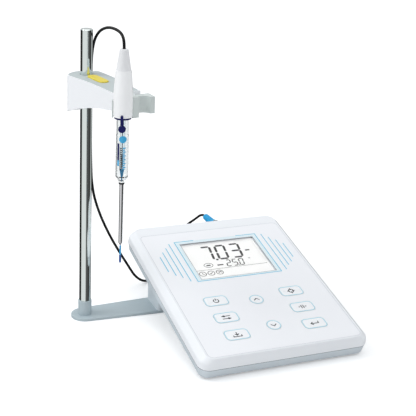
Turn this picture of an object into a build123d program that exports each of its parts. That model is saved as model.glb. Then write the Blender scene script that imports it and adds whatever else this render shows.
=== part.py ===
from build123d import *

import os
from math import cos, pi, radians, sin, tan

# Benchtop pH meter with an electrode stand.
# A slab-shaped meter leans on a base plate.  The plate carries a chromed pole, an arm that
# slides and swivels on the pole, and a pH electrode held in the arm's double clip.
# Millimetres, +Z up, +X to the user's right, +Y away from the user.

# ---------------------------------------------------------------- driving dimensions
# meter case
meter_w = 198.0
meter_d = 248.0            # in plan, along the parting line
case_tilt = 11.5           # slope of the deck, degrees
case_t = 25.4              # thickness, square to the deck
part_drop = 13.0           # deck down to the parting plane
front_lift = 0.8           # underside's front edge above the bench
case_r = 12.0
wall_t = 2.5
deck_wall_t = 3.0
shoulder_h = 6.0        # where the upper shell's side turns in towards the deck
shoulder_inset = 0.8
shoulder_end_inset = 1.4
shoulder_round = 4.0
deck_side_inset = 7.5      # deck edge inside the parting edge
deck_end_inset = 2.6
deck_r = 10.0
deck_round = 1.2
lower_inset = 2.5          # underside's edge inside the parting edge
lower_round = 2.6
part_step = 0.4            # shadow step of the lower shell at the parting line
# printed front panel
panel_t = 0.5
panel_front = 4.1          # from the parting edge, along the slope
panel_header = 20.2        # bare strip behind it, to the rear parting edge
panel_side = 9.5
panel_r = 6.0
# display
view_w = 94.0
view_h = 72.2
view_in = 81.0             # centre of the display from the rear parting edge
window_t = 1.3
window_lap = 1.5           # how far the window plate reaches past the view
ledge_w = 1.5              # how far its ledge reaches in under it
glass_rim = 3.0            # how far the display glass reaches past the view
lcd_t = 3.0
backlight_t = 1.15
frame_rim = 3.2
# keys
key_w = 27.5
key_h = 16.7
key_r = 5.0
key_round_d = 16.0
key_col = 46.0             # outer columns from the centre line
key_mid = 64.5             # middle row, along the slope
key_pitch = 30.05
arrow_up_at = 87.8
arrow_down_at = 41.0
key_proud = 0.25
key_flange_w = 1.2
key_flange_t = 1.0
key_stem_d = 5.0
key_travel = 0.6
dome_d = 10.0
dome_t = 0.8
dome_lift = 0.2            # left between a pressed key and its dome
# circuit board
board_t = 1.6
board_w = 180.0
board_front = 8.0
board_in = 28.0            # from the rear parting edge
# case screws
boss_d = 8.0
boss_x = 84.0
boss_front = 20.0
boss_in = 38.0             # rear bosses, from the rear parting edge
screw_d = 3.0
screw_head_d = 5.6
screw_head_t = 2.0
screw_recess = 6.0
thread_cover = 1.5         # left over the blind end of a case screw's hole
# rear panel and its sockets
rear_w = 150.0
rear_h = 18.0
rear_t = 2.0
rear_drop = 2.2            # panel's centre below the parting line
rear_in = 6.0              # panel's outer face in from the rear parting edge
rear_open_w = 144.0
rear_open_h = 15.0
channel_t = 2.5
bnc_x = 25.0               # from the meter's centre plane
bnc_drop = 1.0             # socket's axis below the panel's centre
bnc_d = 9.6
bnc_bore_d = 8.3
bnc_reach = 12.5           # barrel beyond the panel
bnc_floor = 3.0
bnc_flange_d = 13.0
bnc_flange_t = 2.5
bnc_inner_d = 8.0
bnc_inner_l = 9.0
lug_at = 9.0
lug_d = 1.8
lug_reach = 5.8
jack_flange_t = 1.5
jack_nut_t = 2.0
jack_floor = 2.0
power_x = -52.0
temperature_x = -8.0
reference_x = 54.0
# support foot and rubber feet
foot_w = 172.0
foot_r = 5.0
foot_post_d = 10.0
rubber_d = 14.0
rubber_x = 82.0
rubber_in = 17.0           # behind the front parting edge
# base plate and pole
plate_t = 3.0
plate_w = 38.5            # under the foot
plate_end_r = 15.5         # round the pole
plate_reach = 80.0         # plate's right end, from the meter's centre plane
plate_r = 3.0
pole_to_meter = 167.7      # pole axis to the meter's centre plane
stand_left = 20.75         # pole axis to the stand's leftmost point, on the arm
pole_in = 184.0            # pole axis behind the front parting edge
pole_d = 13.0
pole_top = 330.6
pole_chamfer = 0.8
collar_d = 15.0
collar_h = 17.5
plate_screw_d = 4.0
plate_screw_head_d = 7.6
plate_screw_x = 55.0
plate_screw_bite = 8.0     # into the case
pole_screw_d = 5.0
pole_screw_head_d = 9.4
pole_screw_bite = 16.0
countersink_t = 2.2
countersink_taper = 40.0   # degrees
# arm: u runs from the pole to the tip, v to its right
arm_yaw = -78.0            # heading of the tip at rest, degrees from +X
arm_low = 241.4
arm_h = 41.2
arm_len = 83.8
arm_back = 15.5            # rounded back's reach behind the pole
arm_mid = 1.0              # middle of the arm across its length
arm_wall = 2.2
arm_heel_u = 13.0
arm_hub_u = 0.0            # where the long edges start
# plan of the arm's long edges: along, across
arm_left_start = -20.66
arm_left = ((28.0, -16.4), (56.0, -14.9))
arm_left_end = -14.6
arm_right_start = 19.3
arm_right = ((24.0, 20.0), (56.0, 18.2))
arm_right_end = 16.0
# its rounded back corners, left then right: along, across
arm_corners = ((-10.5, -15.6), (-9.8, 14.6))
corner_share = 0.75        # of an inset, taken along each way at a corner
# its underside: along, above the arm's lowest edge
arm_rise = ((-4.0, 3.3), (4.0, 5.2), (14.0, 8.9), (28.0, 12.9), (56.0, 19.2))
arm_tip_rise = 23.7
cover_t = 3.0
cover_rim = 1.2
bush_d = 18.0
bush_h = 6.0
bush_in = 7.8              # lower bush's end above the arm's lowest edge
hub_wall = 2.4
button_len = 33.0
button_w = 11.4
button_mid = 25.2
button_proud = 1.2
button_flange_w = 1.4
button_flange_t = 1.6
button_travel = 3.0
jaw_travel = 1.5
jaw_seat_t = 2.4
jaw_w = 10.0
jaw_base_t = 3.8
jaw_pad_t = 2.8
jaw_tower_t = 2.0
jaw_back = 24.0
ramp_h = 9.0
wedge_front = 12.0
wedge_w = 8.0
spring_seat_t = 1.2
spring_t = 0.6
spring_w = 6.0
rail_t = 2.0
seat_front = 28.5          # block that both springs bear on
seat_back = 44.0
cover_screw_in = (27.8, 8.8)   # from the arm's tip
cover_screw_d = 2.6
cover_screw_head_d = 5.0
cover_post_d = 8.4
cover_boss_h = 6.0
# clip head
clip_out = 15.2            # clip centres beyond the arm's tip
clip_left = -12.7          # left clip's centre, across the arm
clip_right = 11.7
clip_slack = 0.3           # bore over the cap
spare_bore = 16.4          # the right clip's, empty
clip_h = 20.4
clip_drop = 1.3            # its top under the arm's
clip_ledge = 2.2           # outer jaws' top below the middle jaw's
clip_step = 1.0            # their lower end above its
clip_nose_w = 9.4          # middle jaw
clip_nose_out = 3.5        # beyond the clip centres
thin_jaw_t = 1.2           # outer jaw on the electrode's side
thin_jaw_end = 66.0        # where it ends, degrees round from the back
thin_back = 4.0            # back's end, left of the electrode's centre
thick_jaw_t = 5.8          # outer jaw of the empty clip
thick_jaw_slope = 1.2      # its end face, along the arm
thick_jaw_in = 1.6         # its inner end behind the clip's centre
thick_jaw_taper = 1.4      # thinner at the end than at the back
nose_round = 0.8
clip_screw_d = 2.5
clip_screw_head_d = 4.2
clip_screw_pitch = 5.0
clip_screw_up = 2.4        # the pair's middle above the clip's
clip_screw_l = 10.0
# electrode
cap_d = 19.1
cap_top_d = 15.8
boot_top_d = 8.6
boot_low_d = 14.6
boot_h = 20.6
cap_taper_h = 22.5
cap_h = 46.2
cap_in = 2.4               # cap's lower end above the clip's
glass_in_cap = 15.3
ring_t = 2.1
ring_d = 16.9
glass_neck_d = 12.3
glass_d = 12.9
glass_wall = 0.9
glass_neck_h = 18.5        # neck that shows below the cap
glass_h = 43.6
glass_taper_h = 6.9
inner_d = 5.4
inner_wall = 0.7
wire_d = 1.0
element_d = 2.2
element_l = 14.0
cone_h = 8.0
stem_d = 4.2
stem_h = 68.5
neck_d = 1.8
neck_h = 10.0
tip_d = 2.3
tip_h = 9.0
plug_d = 7.4
plug_t = 2.2
plug_drop = 11.4           # its centre below the cap
plug_heading = -113.4      # the filling plug's side of the electrode, degrees from +X
strap_w = 3.4
strap_t = 1.2
knob_d = 2.6
knob_h = 3.4
# plug on the lead
sleeve_l = 8.0
plug_body_d = 11.2
plug_body_l = 8.0
plug_rim_t = 1.9
bayonet_d = 14.5
bayonet_l = 15.0
bayonet_at = 7.5           # collar's front end beyond the panel
bayonet_web = 7.0
grip_count = 12
grip_d = 1.2
bnc_boot_d = 11.0
bnc_boot_end_d = 8.6
bnc_boot_l = 31.5
# electrode lead
lead_d = 3.0
coil_turn_r = 17.0
coil_h = 6.0
coil_w = 6.0
tie_w = 5.0
tie_t = 0.8
# clearances
gap = 0.3                  # between pieces that move past each other
fit = 0.15                 # between pieces that sit in each other
run = 0.08                 # radial, between a shaft and its bush

# ---------------------------------------------------------------- places
slope = radians(case_tilt)
slope_len = meter_d / cos(slope)
meter_x = (pole_to_meter + stand_left - meter_w / 2) / 2
front_y = -(meter_d + bnc_reach - rear_in) / 2
rear_y = front_y + meter_d
deck_y = front_y - part_drop * sin(slope)
deck_z = front_lift + case_t * cos(slope)
panel_back = slope_len - panel_header
view_mid = slope_len - view_in
board_back = slope_len - board_in
boss_back = slope_len - boss_in
boss_rows = (boss_front, (boss_front + boss_back) / 2, boss_back)
deck = Plane(origin=(meter_x, deck_y, deck_z), x_dir=(1, 0, 0), z_dir=(0, -sin(slope), cos(slope)))
deck_axis = Axis(deck.origin, deck.z_dir)
board_drop = deck_wall_t + fit + lcd_t + backlight_t
boss_places = [(x, along) for x in (-boss_x, boss_x) for along in boss_rows]


def height_at(y, drop):
    """Height above the bench, at a depth under the deck."""
    return deck_z + (y - deck_y) * tan(slope) - drop / cos(slope)


panel_y = rear_y - rear_in
rear_z = height_at(rear_y, part_drop) - rear_drop
bnc_z = rear_z - bnc_drop
rear_face = Plane(origin=(meter_x, panel_y, 0), x_dir=(-1, 0, 0), z_dir=(0, 1, 0))
bnc_face = Plane(origin=(meter_x + bnc_x, panel_y, bnc_z), x_dir=(-1, 0, 0), z_dir=(0, 1, 0))
pole_x = meter_x - pole_to_meter
pole_y = front_y + pole_in
plate_right = meter_x + plate_reach
foot_left = meter_x - foot_w / 2
yaw = radians(arm_yaw)
arm_top = arm_low + arm_h
arm_reach = 2 * arm_right_start
cover_low = arm_top - cover_t
clip_u = arm_len + clip_out
clip_nose_u = clip_u + clip_nose_out
clip_high = arm_top - clip_drop
clip_low = clip_high - clip_h
clip_bore = cap_d + clip_slack
clip_mid = ((clip_left + clip_bore / 2) + (clip_right - spare_bore / 2)) / 2
clip_jaw_high = clip_high - clip_ledge
clip_jaw_low = clip_low + clip_step
elec_x = pole_x + clip_u * cos(yaw) - clip_left * sin(yaw)
elec_y = pole_y + clip_u * sin(yaw) + clip_left * cos(yaw)
cap_low = clip_low + cap_in
boot_low = cap_low + cap_h
boot_high = boot_low + boot_h
cap_shoulder = boot_low - cap_taper_h
glass_top = cap_low + glass_in_cap
glass_step = cap_low - glass_neck_h
plug_z = cap_low - plug_drop
glass_low = glass_step - glass_h
glass_end = glass_low - glass_taper_h
stem_end = glass_end - stem_h
neck_end = stem_end - neck_h
tip_end = neck_end - tip_h
elec_axis = Axis((elec_x, elec_y, 0), (0, 0, 1))
elec_profile = Plane(origin=(elec_x, elec_y, 0), x_dir=(1, 0, 0), z_dir=(0, -1, 0))

os.makedirs("parts", exist_ok=True)


def save(piece, name):
    """Label a finished piece and write it as one STEP file."""
    piece.part.label = name
    export_step(piece.part, f"parts/{name}.step")


def arm_level(height):
    """Level plane at a height, with local X along the arm and its origin on the pole."""
    return Plane(origin=(pole_x, pole_y, height), x_dir=(cos(yaw), sin(yaw), 0))


def arm_side(across=0.0):
    """Upright plane along the arm, with local X along the arm and local Y up."""
    place = (pole_x - across * sin(yaw), pole_y + across * cos(yaw), 0)
    return Plane(origin=place, x_dir=(cos(yaw), sin(yaw), 0), z_dir=(sin(yaw), -cos(yaw), 0))


def slab_plan(side, ends, radius):
    """Rounded plan of the case, set in from the parting outline."""
    with Locations((0, slope_len / 2)):
        RectangleRounded(meter_w - 2 * side, slope_len - 2 * ends, radius)


def turned(*points):
    """Half profile, given as radius and height, turned about the electrode's axis."""
    with BuildSketch(elec_profile) as half:
        with BuildLine():
            Polyline(*points, close=True)
        make_face()
    revolve(half.sketch, axis=elec_axis)


# ---------------------------------------------------------------- case shells
upper_plans = (
    (part_drop, 0.0, 0.0, case_r),
    (shoulder_h, shoulder_inset, shoulder_end_inset, case_r - shoulder_end_inset),
    (0.0, deck_side_inset, deck_end_inset, deck_r),
)
with BuildPart() as upper_blank:
    for drop, side, ends, radius in upper_plans:
        with BuildSketch(deck.offset(-drop)):
            slab_plan(side, ends, radius)
    loft(ruled=True)
    fillet(edges().group_by(deck_axis)[2], shoulder_round)
    fillet(edges().group_by(deck_axis)[-1], deck_round)

with BuildPart() as lower_blank:
    with BuildSketch(deck.offset(-part_drop)):
        slab_plan(part_step, part_step, case_r - part_step)
    with BuildSketch(deck.offset(-case_t)):
        slab_plan(lower_inset, lower_inset, case_r - lower_inset)
    loft(ruled=True)
    fillet(edges().group_by(deck_axis)[0], lower_round)

# block across the back of each shell, that the rear panel slides into
with BuildPart() as rear_block:
    with BuildSketch(rear_face.offset(-rear_t - channel_t)):
        with Locations((0, rear_z)):
            Rectangle(rear_w + 2 * channel_t, 4 * case_t)
    extrude(amount=rear_t + channel_t + rear_in)

with BuildPart() as upper_channel:
    add(upper_blank.part)
    add(rear_block.part, mode=Mode.INTERSECT)

with BuildPart() as lower_channel:
    add(lower_blank.part)
    add(rear_block.part, mode=Mode.INTERSECT)


def cut_rear_opening():
    """Slot for the rear panel, and the opening that shows its sockets."""
    with BuildSketch(rear_face.offset(fit)) as slot:
        with Locations((0, rear_z)):
            Rectangle(rear_w + 2 * fit, rear_h + 2 * fit)
    extrude(slot.sketch, amount=-(rear_t + 2 * fit), mode=Mode.SUBTRACT)
    with BuildSketch(rear_face.offset(2 * rear_in)) as opening:
        with Locations((0, rear_z)):
            Rectangle(rear_open_w, rear_open_h)
    extrude(opening.sketch, amount=-(2 * rear_in + rear_t + 2 * channel_t), mode=Mode.SUBTRACT)


# keys: name -> (across, along the slope, outline)
key_spots = {
    "key_power": (-key_col, key_mid + key_pitch, "bar"),
    "key_mode": (-key_col, key_mid, "bar"),
    "key_memory": (-key_col, key_mid - key_pitch, "bar"),
    "key_up": (0.0, arrow_up_at, "round"),
    "key_down": (0.0, arrow_down_at, "round"),
    "key_cal": (key_col, key_mid + key_pitch, "bar"),
    "key_hold": (key_col, key_mid, "bar"),
    "key_enter": (key_col, key_mid - key_pitch, "bar"),
}


def key_outline(kind, grow=0.0):
    """Plan of a key cap, grown for its hole or its flange."""
    if kind == "bar":
        RectangleRounded(key_w + 2 * grow, key_h + 2 * grow, key_r + grow)
    else:
        Circle(key_round_d / 2 + grow)


def key_holes():
    """Plan of all the holes that the keys pass through."""
    for x, along, kind in key_spots.values():
        with Locations((x, along)):
            key_outline(kind, gap)


with BuildPart() as upper_case:
    add(upper_blank.part)
    with BuildSketch(deck.offset(-part_drop)):
        slab_plan(wall_t, wall_t, case_r - wall_t)
    with BuildSketch(deck.offset(-shoulder_h)):
        slab_plan(wall_t + shoulder_inset, wall_t + shoulder_end_inset, case_r - wall_t - shoulder_end_inset)
    with BuildSketch(deck.offset(-deck_wall_t)):
        slab_plan(deck_side_inset, wall_t + deck_end_inset, deck_r - wall_t)
    loft(ruled=True, mode=Mode.SUBTRACT)
    # recess for the printed panel, and the stepped opening for the display
    with BuildSketch(deck):
        with Locations((0, (panel_front + panel_back) / 2)):
            panel_plan = (meter_w - 2 * panel_side + 2 * fit, panel_back - panel_front + 2 * fit)
            RectangleRounded(*panel_plan, panel_r + fit)
    extrude(amount=-panel_t, mode=Mode.SUBTRACT)
    with BuildSketch(deck):
        with Locations((0, view_mid)):
            Rectangle(view_w + 2 * (window_lap + fit), view_h + 2 * (window_lap + fit))
    extrude(amount=-panel_t - window_t, mode=Mode.SUBTRACT)
    with BuildSketch(deck):
        with Locations((0, view_mid)):
            Rectangle(view_w + 2 * (window_lap - ledge_w), view_h + 2 * (window_lap - ledge_w))
    extrude(amount=-deck_wall_t, mode=Mode.SUBTRACT)
    with BuildSketch(deck):
        key_holes()
    extrude(amount=-deck_wall_t, mode=Mode.SUBTRACT)
    # screw bosses down to the board
    with BuildSketch(deck.offset(-deck_wall_t)):
        with Locations(*boss_places):
            Circle(boss_d / 2)
    extrude(amount=deck_wall_t - board_drop)
    with BuildSketch(deck.offset(-board_drop)):
        with Locations(*boss_places):
            Circle(screw_d / 2 + fit)
    extrude(amount=board_drop - panel_t - thread_cover, mode=Mode.SUBTRACT)
    add(upper_channel.part)
    cut_rear_opening()
save(upper_case, "upper_case")

with BuildPart() as lower_case:
    add(lower_blank.part)
    with BuildSketch(deck.offset(-part_drop)):
        slab_plan(part_step + wall_t, part_step + wall_t, case_r - part_step - wall_t)
    with BuildSketch(deck.offset(wall_t - case_t)):
        slab_plan(lower_inset + wall_t, lower_inset + wall_t, case_r - lower_inset - wall_t)
    loft(ruled=True, mode=Mode.SUBTRACT)
    add(lower_channel.part)
    cut_rear_opening()
    # screw bosses up to the board
    with BuildSketch(deck.offset(-case_t)):
        with Locations(*boss_places):
            Circle(boss_d / 2)
    extrude(amount=case_t - board_drop - board_t)
    with BuildSketch(deck.offset(-case_t)):
        with Locations(*boss_places):
            Circle(screw_d / 2 + fit)
    extrude(amount=case_t, mode=Mode.SUBTRACT)
    with BuildSketch(deck.offset(-case_t)):
        with Locations(*boss_places):
            Circle(screw_head_d / 2 + gap)
    extrude(amount=screw_recess, mode=Mode.SUBTRACT)
    # bosses for the long screws that come up through the base plate and the foot
    plate_screw_top = height_at(pole_y, case_t) + plate_screw_bite
    with BuildSketch(Plane.XY.offset(plate_screw_top + wall_t)):
        with Locations((meter_x - plate_screw_x, pole_y), (meter_x + plate_screw_x, pole_y)):
            Circle(foot_post_d / 2)
    extrude(amount=-plate_screw_bite - foot_post_d)
    split(bisect_by=deck.offset(-case_t), keep=Keep.TOP)
    with BuildSketch(Plane.XY.offset(plate_screw_top + gap)):
        with Locations((meter_x - plate_screw_x, pole_y), (meter_x + plate_screw_x, pole_y)):
            Circle(plate_screw_d / 2 + fit)
    extrude(amount=-plate_screw_bite - foot_post_d, mode=Mode.SUBTRACT)
save(lower_case, "lower_case")

with BuildPart() as case_screws:
    with BuildSketch(deck.offset(screw_recess - case_t)):
        with Locations(*boss_places):
            Circle(screw_head_d / 2)
    extrude(amount=-screw_head_t)
    with BuildSketch(deck.offset(screw_recess - case_t)):
        with Locations(*boss_places):
            Circle(screw_d / 2)
    extrude(amount=case_t - screw_recess - panel_t - thread_cover - gap)
    with BuildSketch(deck.offset(screw_recess - case_t - screw_head_t)):
        with Locations(*boss_places):
            Rectangle(0.6 * screw_head_d, 0.15 * screw_head_d)
            Rectangle(0.15 * screw_head_d, 0.6 * screw_head_d)
    extrude(amount=screw_head_t / 2, mode=Mode.SUBTRACT)
save(case_screws, "case_screws")

# ---------------------------------------------------------------- front panel, display, keys
with BuildPart() as front_panel:
    with BuildSketch(deck.offset(-panel_t)):
        with Locations((0, (panel_front + panel_back) / 2)):
            RectangleRounded(meter_w - 2 * panel_side, panel_back - panel_front, panel_r)
        with Locations((0, view_mid)):
            Rectangle(view_w, view_h, mode=Mode.SUBTRACT)
        for x, along, kind in key_spots.values():
            with Locations((x, along)):
                if kind == "bar":
                    hole = (key_w + 2 * gap, key_h + 2 * gap, key_r + gap)
                    RectangleRounded(*hole, mode=Mode.SUBTRACT)
                else:
                    Circle(key_round_d / 2 + gap, mode=Mode.SUBTRACT)
    extrude(amount=panel_t)
save(front_panel, "front_panel")

with BuildPart() as display_window:
    with BuildSketch(deck.offset(-panel_t)):
        with Locations((0, view_mid)):
            Rectangle(view_w + 2 * window_lap, view_h + 2 * window_lap)
    extrude(amount=-window_t)
save(display_window, "display_window")

lcd_top = deck_wall_t + fit
with BuildPart() as lcd_module:
    with BuildSketch(deck.offset(-lcd_top)):
        with Locations((0, view_mid)):
            Rectangle(view_w + 2 * glass_rim, view_h + 2 * glass_rim)
    extrude(amount=-lcd_t)
save(lcd_module, "lcd_module")

with BuildPart() as backlight:
    with BuildSketch(deck.offset(-board_drop)):
        with Locations((0, view_mid)):
            Rectangle(view_w + 2 * glass_rim, view_h + 2 * glass_rim)
    extrude(amount=backlight_t)
save(backlight, "backlight")

with BuildPart() as lcd_frame:
    with BuildSketch(deck.offset(-board_drop)):
        with Locations((0, view_mid)):
            frame_grow = 2 * (glass_rim + frame_rim)
            RectangleRounded(view_w + frame_grow, view_h + frame_grow, frame_rim / 2)
            inner_grow = 2 * (glass_rim + fit)
            Rectangle(view_w + inner_grow, view_h + inner_grow, mode=Mode.SUBTRACT)
    extrude(amount=board_drop - lcd_top)
save(lcd_frame, "lcd_frame")

with BuildPart() as main_board:
    with BuildSketch(deck.offset(-board_drop)):
        with Locations((0, (board_front + board_back) / 2)):
            Rectangle(board_w, board_back - board_front)
        with Locations(*boss_places):
            Circle(screw_d / 2 + fit, mode=Mode.SUBTRACT)
    extrude(amount=-board_t)
save(main_board, "main_board")

# chips, shielded input stage and ribbon socket on the board's underside:
# across, along from the display's centre, width, length, height
board_items = (
    (0.0, -22.0, 14.0, 14.0, 1.6),
    (32.0, 28.0, 34.0, 24.0, 6.0),
    (-42.0, 24.0, 16.0, 10.0, 7.0),
    (-30.0, -52.0, 26.0, 5.0, 4.0),
    (40.0, -32.0, 9.0, 6.0, 1.8),
    (18.0, -62.0, 6.0, 5.0, 1.5),
)
board_low = board_drop + board_t
with BuildPart() as board_parts:
    for x, along, width, length, height in board_items:
        with BuildSketch(deck.offset(-board_low)):
            with Locations((x, view_mid + along)):
                Rectangle(width, length)
        extrude(amount=-height)
save(board_parts, "board_parts")

with BuildPart() as key_domes:
    for x, along, kind in key_spots.values():
        with BuildSketch(deck.offset(-board_drop)):
            with Locations((x, along)):
                Circle(dome_d / 2)
        extrude(amount=dome_t, taper=30)
save(key_domes, "key_domes")

flange_top = deck_wall_t + gap
stem_low = board_drop - dome_t - key_travel - dome_lift
for name, (x, along, kind) in key_spots.items():
    with BuildPart() as key:
        with BuildSketch(deck.offset(-flange_top)):
            with Locations((x, along)):
                key_outline(kind)
        extrude(amount=flange_top + key_proud)
        fillet(faces().sort_by(deck_axis)[-1].edges(), 0.6 * key_proud)
        with BuildSketch(deck.offset(-flange_top)):
            with Locations((x, along)):
                key_outline(kind, key_flange_w)
        extrude(amount=-key_flange_t)
        with BuildSketch(deck.offset(-flange_top)):
            with Locations((x, along)):
                Circle(key_stem_d / 2)
        extrude(amount=flange_top - stem_low)
    save(key, name)

# ---------------------------------------------------------------- rear panel and sockets
bnc_panel_d = bnc_d + 2 * fit
# name -> (across, flange diameter, barrel diameter, bore diameter, bore length)
jacks = {
    "power_jack": (power_x, 11.0, 8.0, 5.6, 9.0),
    "temperature_jack": (temperature_x, 9.5, 6.0, 3.6, 12.0),
    "reference_jack": (reference_x, 9.5, 6.0, 4.0, 12.0),
}
with BuildPart() as rear_panel:
    with BuildSketch(rear_face):
        with Locations((0, rear_z)):
            Rectangle(rear_w, rear_h)
        with Locations((-bnc_x, bnc_z)):
            Circle(bnc_panel_d / 2, mode=Mode.SUBTRACT)
        for x, flange_d, barrel_d, bore_d, bore_l in jacks.values():
            with Locations((-x, rear_z)):
                Circle(barrel_d / 2 + fit, mode=Mode.SUBTRACT)
    extrude(amount=-rear_t)
save(rear_panel, "rear_panel")

for name, (x, flange_d, barrel_d, bore_d, bore_l) in jacks.items():
    with BuildPart() as jack:
        with BuildSketch(rear_face):
            with Locations((-x, rear_z)):
                Circle(flange_d / 2)
        extrude(amount=jack_flange_t)
        with BuildSketch(rear_face):
            with Locations((-x, rear_z)):
                Circle(barrel_d / 2)
        extrude(amount=jack_flange_t - bore_l - jack_floor)
        with BuildSketch(rear_face.offset(-rear_t)):
            with Locations((-x, rear_z)):
                RegularPolygon(flange_d / 2, 6)
        extrude(amount=-jack_nut_t)
        with BuildSketch(rear_face.offset(jack_flange_t)):
            with Locations((-x, rear_z)):
                Circle(bore_d / 2)
        extrude(amount=-bore_l, mode=Mode.SUBTRACT)
    save(jack, name)

with BuildPart() as bnc_socket:
    with BuildSketch(bnc_face):
        RegularPolygon(bnc_flange_d / 2, 6)
    extrude(amount=bnc_flange_t)
    with BuildSketch(bnc_face.offset(-rear_t - bnc_inner_l)):
        Circle(bnc_inner_d / 2)
    extrude(amount=bnc_inner_l)
    with BuildSketch(bnc_face.offset(-rear_t)):
        Circle(bnc_d / 2)
    extrude(amount=rear_t + bnc_reach)
    with BuildSketch(Plane(origin=bnc_face.from_local_coords((0, 0, lug_at)))):
        Circle(lug_d / 2)
    extrude(amount=lug_reach, both=True)
    with BuildSketch(bnc_face.offset(bnc_floor)):
        Circle(bnc_bore_d / 2)
    extrude(amount=bnc_reach, mode=Mode.SUBTRACT)
save(bnc_socket, "bnc_socket")

# ---------------------------------------------------------------- foot, plate, pole
with BuildPart() as support_foot:
    with BuildSketch(Plane.XY.offset(plate_t)):
        with Locations((meter_x, pole_y)):
            RectangleRounded(foot_w, plate_w, foot_r)
    extrude(amount=2 * case_t)
    with BuildSketch(Plane.XY.offset(plate_t + wall_t)):
        with Locations((meter_x, pole_y)):
            RectangleRounded(foot_w - 2 * wall_t, plate_w - 2 * wall_t, foot_r - wall_t)
    extrude(amount=2 * case_t, mode=Mode.SUBTRACT)
    with BuildSketch(Plane.XY.offset(plate_t)):
        with Locations((meter_x - plate_screw_x, pole_y), (meter_x + plate_screw_x, pole_y)):
            Circle(foot_post_d / 2)
    extrude(amount=2 * case_t)
    with BuildSketch(Plane.XY.offset(plate_t)):
        with Locations((meter_x - plate_screw_x, pole_y), (meter_x + plate_screw_x, pole_y)):
            Circle(plate_screw_d / 2 + fit)
    extrude(amount=2 * case_t, mode=Mode.SUBTRACT)
    split(bisect_by=deck.offset(-case_t), keep=Keep.BOTTOM)
save(support_foot, "support_foot")

with BuildPart() as rubber_feet:
    with BuildSketch(Plane.XY):
        with Locations(
            (meter_x - rubber_x, front_y + rubber_in),
            (meter_x + rubber_x, front_y + rubber_in),
        ):
            Circle(rubber_d / 2)
    extrude(amount=case_t)
    split(bisect_by=deck.offset(-case_t), keep=Keep.BOTTOM)
save(rubber_feet, "rubber_feet")

with BuildPart() as base_plate:
    with BuildSketch(Plane.XY):
        with Locations((pole_x, pole_y)):
            Circle(plate_end_r)
        with Locations(((foot_left + plate_right) / 2, pole_y)):
            Rectangle(plate_right - foot_left, plate_w)
        make_hull()
        fillet(vertices().group_by(Axis.X)[-1], plate_r)
    extrude(amount=plate_t)
    chamfer(faces().sort_by(Axis.Z)[-1].edges(), 0.15 * plate_t)
    with BuildSketch(Plane.XY):
        with Locations((pole_x, pole_y)):
            Circle(pole_screw_d / 2 + fit)
        with Locations((meter_x - plate_screw_x, pole_y), (meter_x + plate_screw_x, pole_y)):
            Circle(plate_screw_d / 2 + fit)
    extrude(amount=plate_t, mode=Mode.SUBTRACT)
    with BuildSketch(Plane.XY):
        with Locations((pole_x, pole_y)):
            Circle(pole_screw_head_d / 2 + fit)
        with Locations((meter_x - plate_screw_x, pole_y), (meter_x + plate_screw_x, pole_y)):
            Circle(plate_screw_head_d / 2 + fit)
    extrude(amount=countersink_t, taper=countersink_taper, mode=Mode.SUBTRACT)
save(base_plate, "base_plate")

head_lift = 0.3 * countersink_t
# across, shank diameter, head diameter, tip height
stand_screw_list = (
    (meter_x - plate_screw_x, plate_screw_d, plate_screw_head_d, plate_screw_top),
    (meter_x + plate_screw_x, plate_screw_d, plate_screw_head_d, plate_screw_top),
    (pole_x, pole_screw_d, pole_screw_head_d, plate_t + pole_screw_bite),
)
with BuildPart() as stand_screws:
    for x, shank_d, head_d, tip in stand_screw_list:
        with BuildSketch(Plane.XY.offset(head_lift)):
            with Locations((x, pole_y)):
                Circle(shank_d / 2)
        extrude(amount=tip - head_lift)
        with BuildSketch(Plane.XY.offset(head_lift)):
            with Locations((x, pole_y)):
                Circle(head_d / 2 - head_lift * tan(radians(countersink_taper)))
        extrude(amount=countersink_t - head_lift, taper=countersink_taper)
save(stand_screws, "stand_screws")

with BuildPart() as pole:
    with BuildSketch(arm_level(plate_t)):
        Circle(pole_d / 2)
    extrude(amount=pole_top - plate_t)
    chamfer(faces().sort_by(Axis.Z)[-1].edges(), pole_chamfer)
    with BuildSketch(arm_level(plate_t)):
        Circle(pole_screw_d / 2 + fit)
    extrude(amount=pole_screw_bite + gap, mode=Mode.SUBTRACT)
save(pole, "pole")

with BuildPart() as pole_collar:
    with BuildSketch(arm_level(plate_t)):
        Circle(collar_d / 2)
    extrude(amount=collar_h)
    chamfer(faces().sort_by(Axis.Z)[-1].edges(), 0.4 * (collar_d - pole_d) / 2)
    with BuildSketch(arm_level(plate_t)):
        Circle(pole_d / 2 + run)
    extrude(amount=collar_h, mode=Mode.SUBTRACT)
save(pole_collar, "pole_collar")

# ---------------------------------------------------------------- arm
# the two long edges of the arm in plan, from the pole to the tip
left_edge = ((arm_hub_u, arm_left_start), *arm_left, (arm_len, arm_left_end))
right_edge = ((arm_hub_u, arm_right_start), *arm_right, (arm_len, arm_right_end))
# the underside, from behind the pole to the tip
underside = [(u, arm_low + rise) for u, rise in (*arm_rise, (arm_len, arm_tip_rise))]


def arm_plan(inset=0.0):
    """Plan of the arm, set in from its outline."""
    left = [(min(u, arm_len - inset), v + inset) for u, v in left_edge]
    right = [(min(u, arm_len - inset), v - inset) for u, v in right_edge]
    step = corner_share * inset
    (left_u, left_v), (right_u, right_v) = arm_corners
    back = (
        (left_u + step, left_v + step),
        (inset - arm_back, (arm_left_start + arm_right_start) / 2),
        (right_u + step, right_v - step),
    )
    with BuildLine() as outline:
        Spline(*left, tangents=((1, 0.1), (1, 0)))
        Line(left[-1], right[-1])
        Spline(*right, tangents=((1, 0.03), (1, -0.1)))
        Spline(left[0], *back, right[0], tangents=((-1, -0.1), (1, 0.03)))
    make_face(outline.edges())


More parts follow.
